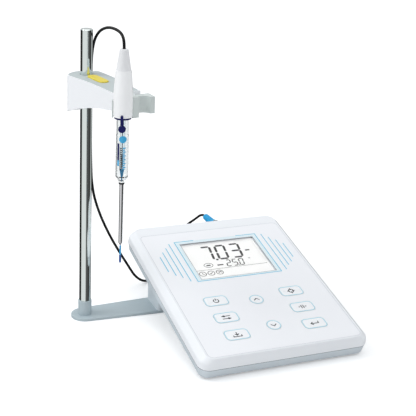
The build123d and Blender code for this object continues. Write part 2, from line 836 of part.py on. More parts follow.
def above_underside(lift, top):
    """Side view of what lies between the arm's underside, raised by lift, and top."""
    low = [(u, z + lift) for u, z in underside]
    start = (-arm_reach, arm_low + lift)
    far = 2 * arm_len
    with BuildLine() as side_view:
        heel = (-arm_heel_u, arm_low + lift)
        Line(start, heel)
        Spline(heel, *low, tangents=((1, 0), (1, 0.2)))
        Line(low[-1], (far, low[-1][1]))
        Polyline((far, low[-1][1]), (far, top), (start[0], top), start)
    make_face(side_view.edges())


hub_r = bush_d / 2 + run + hub_wall
hub_top = cover_low - 2 * gap - button_flange_t - button_travel
lower_bush_low = arm_low + bush_in
upper_bush_low = hub_top - bush_h
window_low = lower_bush_low + bush_h + gap
window_high = upper_bush_low - gap
jaw_low = window_low + jaw_seat_t + gap
jaw_floor = jaw_low - fit
seat_top = window_high + spring_seat_t
cover_boss_low = cover_low - cover_boss_h
head_seat = cover_boss_low - cover_boss_h
tip_wall = arm_len - arm_wall
tip_face = Plane(
    origin=(pole_x + arm_len * cos(yaw), pole_y + arm_len * sin(yaw), 0),
    x_dir=(-sin(yaw), cos(yaw), 0),
    z_dir=(cos(yaw), sin(yaw), 0),
)
clip_screw_mid = (clip_low + clip_high) / 2 + clip_screw_up
clip_screw_z = [clip_screw_mid + side * clip_screw_pitch / 2 for side in (-1, 1)]
cover_screw_spots = [(arm_len - back, arm_mid) for back in cover_screw_in]

with BuildPart() as arm_blank:
    with BuildSketch(arm_level(arm_low)):
        arm_plan()
    extrude(amount=arm_top - arm_low)
    with BuildSketch(arm_side()):
        above_underside(0.0, arm_top)
    extrude(amount=arm_reach, both=True, mode=Mode.INTERSECT)

with BuildPart() as arm_room:
    with BuildSketch(arm_level(arm_low)):
        arm_plan(arm_wall)
    extrude(amount=cover_low - arm_low)
    with BuildSketch(arm_side()):
        above_underside(arm_wall, cover_low)
    extrude(amount=arm_reach, both=True, mode=Mode.INTERSECT)

# hub, jaw guide, spring seat and screw posts, all standing on the arm's floor
with BuildPart() as arm_inside:
    with BuildSketch(arm_level(arm_low)):
        Circle(hub_r)
    extrude(amount=hub_top - arm_low)
    guide_mid = (wedge_front + jaw_back + jaw_travel) / 2
    guide_len = jaw_back + jaw_travel - wedge_front
    with BuildSketch(arm_level(arm_low)):
        with Locations((guide_mid, 0)):
            Rectangle(guide_len, jaw_w + 2 * (gap + rail_t))
    extrude(amount=jaw_floor - arm_low)
    with BuildSketch(arm_level(arm_low)):
        with Locations(
            (guide_mid, (jaw_w + rail_t) / 2 + gap),
            (guide_mid, -(jaw_w + rail_t) / 2 - gap),
        ):
            Rectangle(guide_len, rail_t)
    extrude(amount=jaw_low + jaw_base_t - arm_low)
    with BuildSketch(arm_level(arm_low)):
        with Locations(((seat_front + seat_back) / 2, 0)):
            Rectangle(seat_back - seat_front, jaw_w)
    extrude(amount=seat_top - arm_low)
    with BuildSketch(arm_level(arm_low)):
        with Locations(*cover_screw_spots):
            Circle(cover_post_d / 2)
    extrude(amount=cover_boss_low - arm_low)
    with BuildSketch(arm_side()):
        above_underside(arm_wall / 2, cover_low)
    extrude(amount=arm_reach, both=True, mode=Mode.INTERSECT)

with BuildPart() as arm_shell:
    add(arm_blank.part)
    add(arm_room.part, mode=Mode.SUBTRACT)
    with BuildSketch(arm_level(cover_low)):
        arm_plan(cover_rim)
    extrude(amount=cover_t, mode=Mode.SUBTRACT)
    add(arm_inside.part)
    # pole and bush bores
    with BuildSketch(arm_level(arm_low)):
        Circle(pole_d / 2 + 4 * gap)
    extrude(amount=arm_top - arm_low, mode=Mode.SUBTRACT)
    with BuildSketch(arm_level(arm_low)):
        Circle(bush_d / 2 + run)
    extrude(amount=lower_bush_low + bush_h + fit - arm_low, mode=Mode.SUBTRACT)
    with BuildSketch(arm_level(upper_bush_low - fit)):
        Circle(bush_d / 2 + run)
    extrude(amount=bush_h + fit, mode=Mode.SUBTRACT)
    # window in the hub for the jaw
    with BuildSketch(arm_level(window_low)):
        with Locations((hub_r / 2 + gap, 0)):
            Rectangle(hub_r + 2 * gap, jaw_w + 2 * gap)
    extrude(amount=window_high - window_low, mode=Mode.SUBTRACT)
    # level floor between the rails, as far as the jaw travels
    with BuildSketch(arm_level(jaw_floor)):
        with Locations((guide_mid + gap / 2, 0)):
            Rectangle(guide_len + gap, jaw_w + 2 * gap)
    extrude(amount=jaw_base_t, mode=Mode.SUBTRACT)
    # screw holes, recessed from below
    with BuildSketch(arm_level(arm_low)):
        with Locations(*cover_screw_spots):
            Circle(cover_screw_d / 2 + fit)
    extrude(amount=cover_low - arm_low, mode=Mode.SUBTRACT)
    with BuildSketch(arm_level(arm_low)):
        with Locations(*cover_screw_spots):
            Circle(cover_screw_head_d / 2 + gap)
    extrude(amount=head_seat - arm_low, mode=Mode.SUBTRACT)
    for z in clip_screw_z:
        with BuildSketch(tip_face.offset(-2 * arm_wall)):
            with Locations((clip_mid, z)):
                Circle(clip_screw_d / 2 + fit)
        extrude(amount=3 * arm_wall, mode=Mode.SUBTRACT)
save(arm_shell, "arm_shell")

with BuildPart() as arm_top_cover:
    with BuildSketch(arm_level(cover_low)):
        arm_plan(cover_rim + fit)
    extrude(amount=cover_t)
    with BuildSketch(arm_level(cover_boss_low)):
        with Locations(*cover_screw_spots):
            Circle(cover_post_d / 2)
    extrude(amount=cover_boss_h)
    with BuildSketch(arm_level(cover_boss_low)):
        with Locations(*cover_screw_spots):
            Circle(cover_screw_d / 2 + fit)
    extrude(amount=cover_boss_h, mode=Mode.SUBTRACT)
    with BuildSketch(arm_level(cover_low)):
        Circle(pole_d / 2 + 2 * gap)
        with Locations((button_mid, 0)):
            SlotOverall(button_len + 2 * gap, button_w + 2 * gap)
    extrude(amount=cover_t, mode=Mode.SUBTRACT)
save(arm_top_cover, "arm_top_cover")

for name, low in (("lower_bush", lower_bush_low), ("upper_bush", upper_bush_low)):
    with BuildPart() as bush:
        with BuildSketch(arm_level(low)):
            Circle(bush_d / 2)
            Circle(pole_d / 2 + run, mode=Mode.SUBTRACT)
        extrude(amount=bush_h)
    save(bush, name)

flange_high = cover_low - gap
wedge_low = jaw_low + jaw_base_t + button_travel + 2 * fit
ramp_low = jaw_low + jaw_base_t
ramp_foot = jaw_back - jaw_tower_t - jaw_travel / button_travel * ramp_h


def ramp_at(z):
    """Where the jaw's ramp stands along the arm at a height."""
    return ramp_foot + jaw_travel / button_travel * (z - ramp_low)


with BuildPart() as release_button:
    with BuildSketch(arm_level(flange_high)):
        with Locations((button_mid, 0)):
            SlotOverall(button_len, button_w)
    extrude(amount=arm_top + button_proud - flange_high)
    fillet(faces().sort_by(Axis.Z)[-1].edges(), 0.6 * button_proud)
    with BuildSketch(arm_level(flange_high)):
        with Locations((button_mid, 0)):
            SlotOverall(button_len + 2 * button_flange_w, button_w + 2 * button_flange_w)
    extrude(amount=-button_flange_t)
    # wedge that pushes the jaw off the pole
    wedge_top = flange_high - button_flange_t
    with BuildSketch(arm_side()):
        with BuildLine():
            Polyline(
                (wedge_front, wedge_low),
                (ramp_at(wedge_low) - gap, wedge_low),
                (ramp_at(ramp_low + ramp_h) - gap, ramp_low + ramp_h),
                (ramp_at(ramp_low + ramp_h) - gap, wedge_top),
                (wedge_front, wedge_top),
                close=True,
            )
        make_face()
    extrude(amount=wedge_w / 2, both=True)
save(release_button, "release_button")

with BuildPart() as lock_jaw:
    with BuildSketch(arm_side()):
        with BuildLine():
            pad_face = pole_d / 2 + gap + run
            Polyline(
                (pad_face, jaw_low),
                (jaw_back, jaw_low),
                (jaw_back, ramp_low + ramp_h),
                (ramp_at(ramp_low + ramp_h), ramp_low + ramp_h),
                (ramp_foot, ramp_low),
                (pad_face + jaw_pad_t, ramp_low),
                (pad_face + jaw_pad_t, window_high - gap),
                (pad_face, window_high - gap),
                close=True,
            )
        make_face()
    extrude(amount=jaw_w / 2, both=True)
save(lock_jaw, "lock_jaw")

jaw_spring_front = jaw_back + gap
with BuildPart() as jaw_spring:
    with BuildSketch(arm_side()):
        with BuildLine():
            spring_mid = (jaw_low + ramp_low + ramp_h) / 2
            half_span = ramp_h / 2
            high = (seat_front, spring_mid + half_span)
            low = (seat_front, spring_mid - half_span)
            ThreePointArc(low, (jaw_spring_front, spring_mid), high)
            Line(high, (seat_front, high[1] - spring_t))
            ThreePointArc(
                (seat_front, high[1] - spring_t),
                (jaw_spring_front + spring_t, spring_mid),
                (seat_front, low[1] + spring_t),
            )
            Line((seat_front, low[1] + spring_t), low)
        make_face()
    extrude(amount=spring_w / 2, both=True)
save(jaw_spring, "jaw_spring")

with BuildPart() as button_spring:
    with BuildSketch(arm_side()):
        with BuildLine():
            spring_mid = (seat_front + seat_back) / 2
            half_span = (seat_back - seat_front) / 2 - spring_t
            apex = wedge_top - gap
            front = (spring_mid - half_span, seat_top)
            back = (spring_mid + half_span, seat_top)
            ThreePointArc(front, (spring_mid, apex), back)
            Line(back, (back[0] - spring_t, seat_top))
            ThreePointArc(
                (back[0] - spring_t, seat_top),
                (spring_mid, apex - spring_t),
                (front[0] + spring_t, seat_top),
            )
            Line((front[0] + spring_t, seat_top), front)
        make_face()
    extrude(amount=spring_w / 2, both=True)
save(button_spring, "button_spring")

# ---------------------------------------------------------------- clip head
clip_r = clip_bore / 2
spare_r = spare_bore / 2
clip_back_u = clip_u - clip_r
thick_side = clip_right + spare_r + thick_jaw_t
thick_end_u = clip_u - thick_jaw_in


def bores():
    """Both clips' bores, cut from a plan of the clip head."""
    with Locations((clip_u, clip_left)):
        Circle(clip_r, mode=Mode.SUBTRACT)
    with Locations((clip_u, clip_right)):
        Circle(spare_r, mode=Mode.SUBTRACT)


with BuildPart() as clip_head:
    with BuildSketch(arm_level(clip_jaw_low)):
        # thin jaw round the electrode, cut off short of the front
        with Locations((clip_u, clip_left)):
            Circle(clip_r + thin_jaw_t)
        end = radians(180 - thin_jaw_end)
        reach = 2 * clip_r
        with BuildLine():
            Polyline(
                (clip_u, clip_left),
                (clip_u + reach * cos(end), clip_left - reach * sin(end)),
                (clip_u + reach, clip_left - reach),
                (clip_u + reach, clip_left + reach),
                (clip_u, clip_left + reach),
                close=True,
            )
        make_face(mode=Mode.SUBTRACT)
        # back plate on the arm's tip and the thick jaw of the empty clip
        with BuildLine():
            Polyline(
                (arm_len, clip_left),
                (clip_back_u, clip_left - thin_back),
                (clip_u, clip_left - thin_back),
                (clip_u, clip_mid),
                (thick_end_u, clip_right + spare_r - gap),
                (thick_end_u + thick_jaw_slope, thick_side - thick_jaw_taper),
                (arm_len + thick_jaw_slope, thick_side),
                (arm_len, thick_side - thick_jaw_slope),
                close=True,
            )
        make_face()
        bores()
    extrude(amount=clip_jaw_high - clip_jaw_low)
    # middle jaw
    with BuildSketch(arm_level(clip_low)):
        with Locations(((arm_len + clip_nose_u) / 2, clip_mid)):
            Rectangle(clip_nose_u - arm_len, clip_nose_w)
        bores()
    extrude(amount=clip_high - clip_low)
    nose_edges = edges().filter_by(Axis.Z).filter_by_position(
        Axis((pole_x, pole_y, 0), (cos(yaw), sin(yaw), 0)), clip_nose_u - 0.1, clip_nose_u + 0.1
    )
    fillet(nose_edges, nose_round)
    for z in clip_screw_z:
        with BuildSketch(tip_face):
            with Locations((clip_mid, z)):
                Circle(clip_screw_d / 2 + fit)
        extrude(amount=clip_screw_l - arm_wall + gap, mode=Mode.SUBTRACT)
save(clip_head, "clip_head")

with BuildPart() as arm_screws:
    with BuildSketch(arm_level(head_seat)):
        with Locations(*cover_screw_spots):
            Circle(cover_screw_head_d / 2)
    extrude(amount=-screw_head_t)
    with BuildSketch(arm_level(head_seat)):
        with Locations(*cover_screw_spots):
            Circle(cover_screw_d / 2)
    extrude(amount=cover_low - gap - head_seat)
    for z in clip_screw_z:
        with BuildSketch(tip_face.offset(-arm_wall)):
            with Locations((clip_mid, z)):
                Circle(clip_screw_d / 2)
        extrude(amount=clip_screw_l)
        with BuildSketch(tip_face.offset(-arm_wall)):
            with Locations((clip_mid, z)):
                Circle(clip_screw_head_d / 2)
        extrude(amount=-screw_head_t)
save(arm_screws, "arm_screws")

# ---------------------------------------------------------------- electrode
neck_r = glass_neck_d / 2
glass_r = glass_d / 2
stem_r = stem_d / 2
with BuildPart() as electrode_cap:
    turned(
        (0, boot_low),
        (cap_top_d / 2, boot_low),
        (cap_d / 2, cap_shoulder),
        (cap_d / 2, cap_low),
        (neck_r + fit, cap_low),
        (neck_r + fit, glass_top + fit),
        (0, glass_top + fit),
    )
save(electrode_cap, "electrode_cap")

with BuildPart() as electrode_boot:
    turned((0, boot_low), (boot_low_d / 2, boot_low), (boot_top_d / 2, boot_high), (0, boot_high))
    fillet(faces().sort_by(Axis.Z)[-1].edges(), 0.1 * boot_top_d)
save(electrode_boot, "electrode_boot")

with BuildPart() as outer_glass:
    turned(
        (0, glass_end),
        (stem_r, glass_end),
        (stem_r + glass_wall, glass_end + glass_wall),
        (glass_r, glass_low),
        (glass_r, glass_step - glass_wall),
        (neck_r, glass_step),
        (neck_r, glass_top),
        (neck_r - glass_wall, glass_top),
        (neck_r - glass_wall, glass_step),
        (glass_r - glass_wall, glass_step - glass_wall),
        (glass_r - glass_wall, glass_low + glass_wall),
        (stem_r, glass_end + 3 * glass_wall),
        (0, glass_end + 3 * glass_wall),
    )
save(outer_glass, "outer_glass")

cone_low = glass_low + glass_wall
cone_high = cone_low + cone_h
inner_r = inner_d / 2
with BuildPart() as junction_cone:
    turned(
        (0, cone_low),
        (stem_r, cone_low),
        (glass_r - glass_wall - fit, cone_high),
        (0, cone_high),
    )
save(junction_cone, "junction_cone")

with BuildPart() as inner_glass:
    turned(
        (0, cone_high),
        (inner_r, cone_high),
        (inner_r, glass_top - gap),
        (inner_r - inner_wall, glass_top - gap),
        (inner_r - inner_wall, cone_high + inner_wall),
        (0, cone_high + inner_wall),
    )
save(inner_glass, "inner_glass")

with BuildPart() as reference_element:
    foot_z = cone_high + inner_wall
    turned(
        (0, foot_z),
        (element_d / 2, foot_z),
        (element_d / 2, foot_z + element_l),
        (wire_d / 2, foot_z + element_l + wire_d),
        (wire_d / 2, glass_top),
        (0, glass_top),
    )
save(reference_element, "reference_element")

ring_low = cap_low - ring_t
facing = radians(plug_heading)
plug_face = Plane(
    origin=(elec_x, elec_y, 0),
    x_dir=(-sin(facing), cos(facing), 0),
    z_dir=(cos(facing), sin(facing), 0),
)
with BuildPart() as fill_ring:
    with BuildSketch(Plane(origin=(elec_x, elec_y, ring_low))):
        Circle(ring_d / 2)
        Circle(neck_r + fit, mode=Mode.SUBTRACT)
    extrude(amount=ring_t)
    # strap down to the plug and the knob above the ring
    with BuildSketch(plug_face.offset(neck_r + gap)):
        with Locations((0, (plug_z + plug_d / 2 + ring_low) / 2 + fit)):
            Rectangle(strap_w, ring_low - plug_z - plug_d / 2)
    extrude(amount=strap_t)
    with BuildSketch(plug_face.offset(cap_d / 2 + fit)):
        with Locations((0, ring_low + (ring_t + knob_h) / 2)):
            SlotOverall(ring_t + knob_h, knob_d, rotation=90)
    extrude(amount=strap_t)
    with BuildSketch(plug_face.offset(ring_d / 2 - strap_t)):
        with Locations((0, ring_low + ring_t / 2)):
            Rectangle(knob_d, ring_t)
    extrude(amount=(cap_d - ring_d) / 2 + 2 * strap_t)
save(fill_ring, "fill_ring")

with BuildPart() as fill_plug:
    with BuildSketch(plug_face.offset(neck_r / 2)):
        with Locations((0, plug_z)):
            Circle(plug_d / 2)
    extrude(amount=neck_r / 2 + plug_t)
    fillet(edges().sort_by(Axis(plug_face.origin, plug_face.z_dir))[-1], 0.3 * plug_t)
    with BuildSketch(Plane(origin=(elec_x, elec_y, plug_z - plug_d))):
        Circle(neck_r + fit)
    extrude(amount=2 * plug_d, mode=Mode.SUBTRACT)
save(fill_plug, "fill_plug")

with BuildPart() as electrode_stem:
    turned((0, stem_end), (stem_r, stem_end + 2 * neck_d), (stem_r, glass_end), (0, glass_end))
save(electrode_stem, "electrode_stem")

with BuildPart() as tip_neck:
    turned((0, neck_end), (neck_d / 2, neck_end), (neck_d / 2, stem_end), (0, stem_end))
save(tip_neck, "tip_neck")

with BuildPart() as sensing_tip:
    turned(
        (0, tip_end),
        (tip_d / 4, tip_end),
        (tip_d / 2, tip_end + tip_d / 2),
        (tip_d / 2, neck_end - tip_d / 4),
        (neck_d / 2, neck_end),
        (0, neck_end),
    )
save(sensing_tip, "sensing_tip")

# ---------------------------------------------------------------- plug on the lead
body_at = bayonet_at + bayonet_l - bayonet_web
body_end = bayonet_at + bayonet_l + gap
with BuildPart() as bnc_plug_body:
    with BuildSketch(bnc_face.offset(bnc_reach + gap - sleeve_l)):
        Circle(bnc_bore_d / 2 - fit)
    extrude(amount=sleeve_l)
    with BuildSketch(bnc_face.offset(bnc_reach + gap)):
        Circle(plug_body_d / 2 + fit)
    extrude(amount=plug_rim_t)
    with BuildSketch(bnc_face.offset(bnc_reach + gap)):
        Circle(plug_body_d / 2)
    extrude(amount=body_end - bnc_reach - gap)
save(bnc_plug_body, "bnc_plug_body")

with BuildPart() as bnc_collar:
    with BuildSketch(bnc_face.offset(bayonet_at)):
        Circle(bayonet_d / 2)
        with PolarLocations(bayonet_d / 2, grip_count):
            Circle(grip_d / 2, mode=Mode.SUBTRACT)
    extrude(amount=bayonet_l)
    with BuildSketch(bnc_face.offset(bayonet_at)):
        Circle(lug_reach + gap)
    extrude(amount=body_at - bayonet_at, mode=Mode.SUBTRACT)
    with BuildSketch(bnc_face.offset(bayonet_at)):
        Circle(plug_body_d / 2 + run)
    extrude(amount=bayonet_l, mode=Mode.SUBTRACT)
save(bnc_collar, "bnc_collar")

boot_end = body_end + bnc_boot_l
with BuildPart() as bnc_boot:
    with BuildSketch(bnc_face.offset(body_end)):
        Circle(bnc_boot_d / 2)
    with BuildSketch(bnc_face.offset(boot_end)):
        Circle(bnc_boot_end_d / 2)
    loft()
save(bnc_boot, "bnc_boot")

# ---------------------------------------------------------------- electrode lead
# from the electrode over the pole's side and down behind the arm
upper_route = (
    (elec_x, elec_y, boot_high),
    (elec_x, elec_y, 337.6),
    (-115.2, -36.2, 343.4),
    (-115.3, -20.4, 344.4),
    (-115.0, 1.0, 342.4),
    (-114.4, 23.0, 337.6),
    (-113.7, 46.0, 329.0),
    (-113.1, 64.5, 315.5),
    (-112.3, 75.8, 293.0),
    (-112.3, 75.8, 268.0),
)
# on down to the bench and along it to the coil
lower_route = (
    (-112.3, 75.8, 268.0),
    (-112.3, 75.8, 226.0),
    (-111.6, 76.8, 184.0),
    (-109.0, 80.0, 146.0),
    (-99.0, 87.8, 115.0),
    (-83.0, 97.5, 81.0),
    (-67.0, 106.0, 53.0),
    (-54.0, 112.5, 32.0),
    (-42.0, 117.0, 12.0),
    (-28.0, 121.0, 1.5),
    (-13.0, 129.0, 1.5),
    (-1.0, 144.0, 1.5),
    (6.5, 164.0, 1.5),
    (9.3, 184.0, 1.5),
)
# from the top of the coil up to the plug
tail_route = (
    (14.0, 202.5, 4.5),
    (19.0, 209.5, 5.0),
    (29.0, 214.0, 8.0),
    (40.0, 212.5, 16.0),
    (49.0, 208.0, 25.5),
    (58.0, 202.5, 37.5),
    (65.8, 193.5, 48.0),
    (meter_x + bnc_x, 180.0, bnc_z),
    (meter_x + bnc_x, panel_y + boot_end, bnc_z),
)


def bend_radii(points):
    """Radius of each bend, as large as its two runs allow."""
    radii = []
    for before, here, after in zip(points, points[1:], points[2:]):
        run_in = Vector(*here) - Vector(*before)
        run_out = Vector(*after) - Vector(*here)
        turn = radians(run_in.get_angle(run_out))
        radii.append(0.45 * min(run_in.length, run_out.length) / tan(turn / 2))
    return radii


lead_runs = (("lead_upper", upper_route), ("lead_lower", lower_route), ("lead_tail", tail_route))
for name, points in lead_runs:
    radii = bend_radii(points)
    with BuildPart() as lead:
        with BuildLine() as path:
            FilletPolyline(*points, radius=radii)
        with BuildSketch(Plane(origin=path.line @ 0, z_dir=path.line % 0)):
            Circle(lead_d / 2)
        sweep()
    save(lead, name)
    solid_length = lead.part.volume / (pi * (lead_d / 2) ** 2)
    print(name, "radii", [round(r, 1) for r in radii], "length", round(path.wire().length, 1))
    print(name, "solid's length over the path's", round(solid_length / path.wire().length, 4))

coil_x = 28.0
coil_y = 187.0
with BuildPart() as lead_coil:
    with BuildSketch(Plane(origin=(coil_x, coil_y, 0))):
        Circle(coil_turn_r + coil_w / 2)
        Circle(coil_turn_r - coil_w / 2, mode=Mode.SUBTRACT)
    extrude(amount=coil_h)
    fillet(edges(), 0.4 * lead_d)
save(lead_coil, "lead_coil")

with BuildPart() as coil_tie:
    with BuildSketch(Plane.XZ.offset(-coil_y + tie_w / 2)):
        with Locations((coil_x + coil_turn_r, (coil_h + tie_t) / 2)):
            RectangleRounded(coil_w + 2 * tie_t, coil_h + tie_t, tie_t)
            Rectangle(coil_w, coil_h - tie_t, mode=Mode.SUBTRACT)
    extrude(amount=-tie_w)
save(coil_tie, "coil_tie")
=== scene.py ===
import math

import bpy
from mathutils import Matrix, Vector


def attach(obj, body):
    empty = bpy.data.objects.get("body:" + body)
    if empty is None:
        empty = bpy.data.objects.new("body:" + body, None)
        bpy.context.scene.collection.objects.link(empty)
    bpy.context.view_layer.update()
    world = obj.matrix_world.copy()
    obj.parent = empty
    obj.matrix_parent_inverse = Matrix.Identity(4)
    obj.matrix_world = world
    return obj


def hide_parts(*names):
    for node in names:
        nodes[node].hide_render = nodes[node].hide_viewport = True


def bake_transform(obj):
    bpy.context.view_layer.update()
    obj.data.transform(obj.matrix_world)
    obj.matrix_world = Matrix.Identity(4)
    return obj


# Benchtop pH meter with electrode stand: looks, print, lead, light and camera.
# Axes: +X to the user's right, +Y away from the user, +Z up. Vectors, lamps and the floor
# are in metres. Other sizes, the print and the routes are in millimetres, times MM.

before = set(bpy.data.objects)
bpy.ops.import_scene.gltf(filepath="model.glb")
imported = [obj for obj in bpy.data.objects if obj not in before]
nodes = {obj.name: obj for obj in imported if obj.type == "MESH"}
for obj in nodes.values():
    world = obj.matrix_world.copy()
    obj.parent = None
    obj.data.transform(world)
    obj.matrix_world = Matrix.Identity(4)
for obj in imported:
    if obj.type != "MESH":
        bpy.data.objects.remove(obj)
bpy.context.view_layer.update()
MM = 0.001

# ---------------------------------------------------------------- places from the CAD frame
SLOPE = math.radians(11.5)                          # of the deck
DECK = Vector((44.725, -129.842, 25.690)) * MM      # middle of the deck's front edge
ALONG = Vector((0, math.cos(SLOPE), math.sin(SLOPE)))
DECK_UP = Vector((0, -math.sin(SLOPE), math.cos(SLOPE)))
ACROSS = Vector((1, 0, 0))
UP = Vector((0, 0, 1))
REARWARD = Vector((0, 1, 0))
ELECTRODE = Vector((-114.814, -42.727, 0)) * MM     # its axis, on the bench
BNC = Vector((69.725, 114.75, 60.208)) * MM         # the plug's axis at the rear panel
CASE_W = 198.0              # width, and length along the deck
DECK_LEN = 248.0 / math.cos(SLOPE)
CASE_R = 12.0               # corners of the case in plan
PART_DROP = 13.0            # line between the shells, under the deck
PANEL_W = 179.0
PANEL_LOW = 4.1             # front edge of the film, along the deck
PANEL_HIGH = DECK_LEN - 20.2
PANEL_R = 6.0
LCD_DROP = 3.15             # the display's face under the film's
KEY_SIZE = (27.5, 16.7, 5.0)        # width, length, corner radius
KEY_ROUND = 16.0            # diameter
KEY_PROUD = 0.25            # key tops over the film
KEYS = {                    # middle of each key, across and along the deck
    "key_power": (-46.0, 94.55),
    "key_mode": (-46.0, 64.5),
    "key_memory": (-46.0, 34.45),
    "key_up": (0.0, 87.8),
    "key_down": (0.0, 41.0),
    "key_cal": (46.0, 94.55),
    "key_hold": (46.0, 64.5),
    "key_enter": (46.0, 34.45),
}
ROUND_KEYS = ("key_up", "key_down")
GLASS_R = 6.45              # outside of the electrode's glass

# the camera's place and way, fixed in the frame
CAMERA = Vector((-0.4291, -0.99065, 0.5426))
CAMERA_BACK = Vector((-0.37210615, -0.85996623, 0.34927797)).normalized()
CAMERA_ROLL = math.radians(-2.893)
LENS = 90.80
SENSOR = 36.0


def srgb(r, g, b):
    """Linear colour of an 8-bit display colour."""
    out = []
    for value in (r, g, b):
        c = value / 255
        out.append(c / 12.92 if c <= 0.04045 else ((c + 0.055) / 1.055) ** 2.4)
    return (*out, 1.0)


# ---------------------------------------------------------------- materials
GRAIN_SCALE = 900.0     # noise scales: higher is finer
GLOSS_SCALE = 28.0
TONE_SCALE = 14.0
GRAIN_DEPTH = 0.0002


def noise(tree, scale, detail):
    """Noise in the object's own coordinates."""
    place = tree.nodes.new("ShaderNodeTexCoord")
    node = tree.nodes.new("ShaderNodeTexNoise")
    node.inputs["Scale"].default_value = scale
    node.inputs["Detail"].default_value = detail
    tree.links.new(place.outputs["Object"], node.inputs["Vector"])
    return node.outputs["Fac"]


def material(name, colour, rough, metallic=0.0, grain=0.0, grain_scale=GRAIN_SCALE,
             spread=0.0, patch=0.0, **sockets):
    """Surface with a fine grain, a slow change of gloss (spread) and of tone (patch)."""
    made = bpy.data.materials.new(name)
    made.use_nodes = True
    tree = made.node_tree
    shader = tree.nodes["Principled BSDF"]
    shader.inputs["Base Color"].default_value = colour
    shader.inputs["Roughness"].default_value = rough
    shader.inputs["Metallic"].default_value = metallic
    for socket, value in sockets.items():
        shader.inputs[socket.replace("_", " ")].default_value = value
    if grain:
        bump = tree.nodes.new("ShaderNodeBump")
        bump.inputs["Strength"].default_value = grain
        bump.inputs["Distance"].default_value = GRAIN_DEPTH
        tree.links.new(noise(tree, grain_scale, 3.0), bump.inputs["Height"])
        tree.links.new(bump.outputs["Normal"], shader.inputs["Normal"])
    if spread:
        gloss = tree.nodes.new("ShaderNodeMapRange")
        gloss.inputs["To Min"].default_value = max(0.0, rough - spread)
        gloss.inputs["To Max"].default_value = min(1.0, rough + spread)
        tree.links.new(noise(tree, GLOSS_SCALE, 2.0), gloss.inputs["Value"])
        tree.links.new(gloss.outputs["Result"], shader.inputs["Roughness"])
    if patch:
        tone = tree.nodes.new("ShaderNodeMix")
        tone.data_type = "RGBA"
        tone.inputs["A"].default_value = colour
        tone.inputs["B"].default_value = (*[c * (1 - patch) for c in colour[:3]], 1)
        tree.links.new(noise(tree, TONE_SCALE, 4.0), tone.inputs["Factor"])
        tree.links.new(tone.outputs["Result"], shader.inputs["Base Color"])
    return made


def glass(name, colour, ior):
    """Clear moulded plastic or glass."""
    return material(name, colour, 0.0, Transmission_Weight=1.0, IOR=ior)


def print_ink(name, colour, rough=0.35):
    return material(name, colour, rough, grain=0.02)


def steel(name, colour, rough=0.3, grain=0.0, spread=0.05):
    return material(name, colour, rough, 1.0, grain=grain, spread=spread)


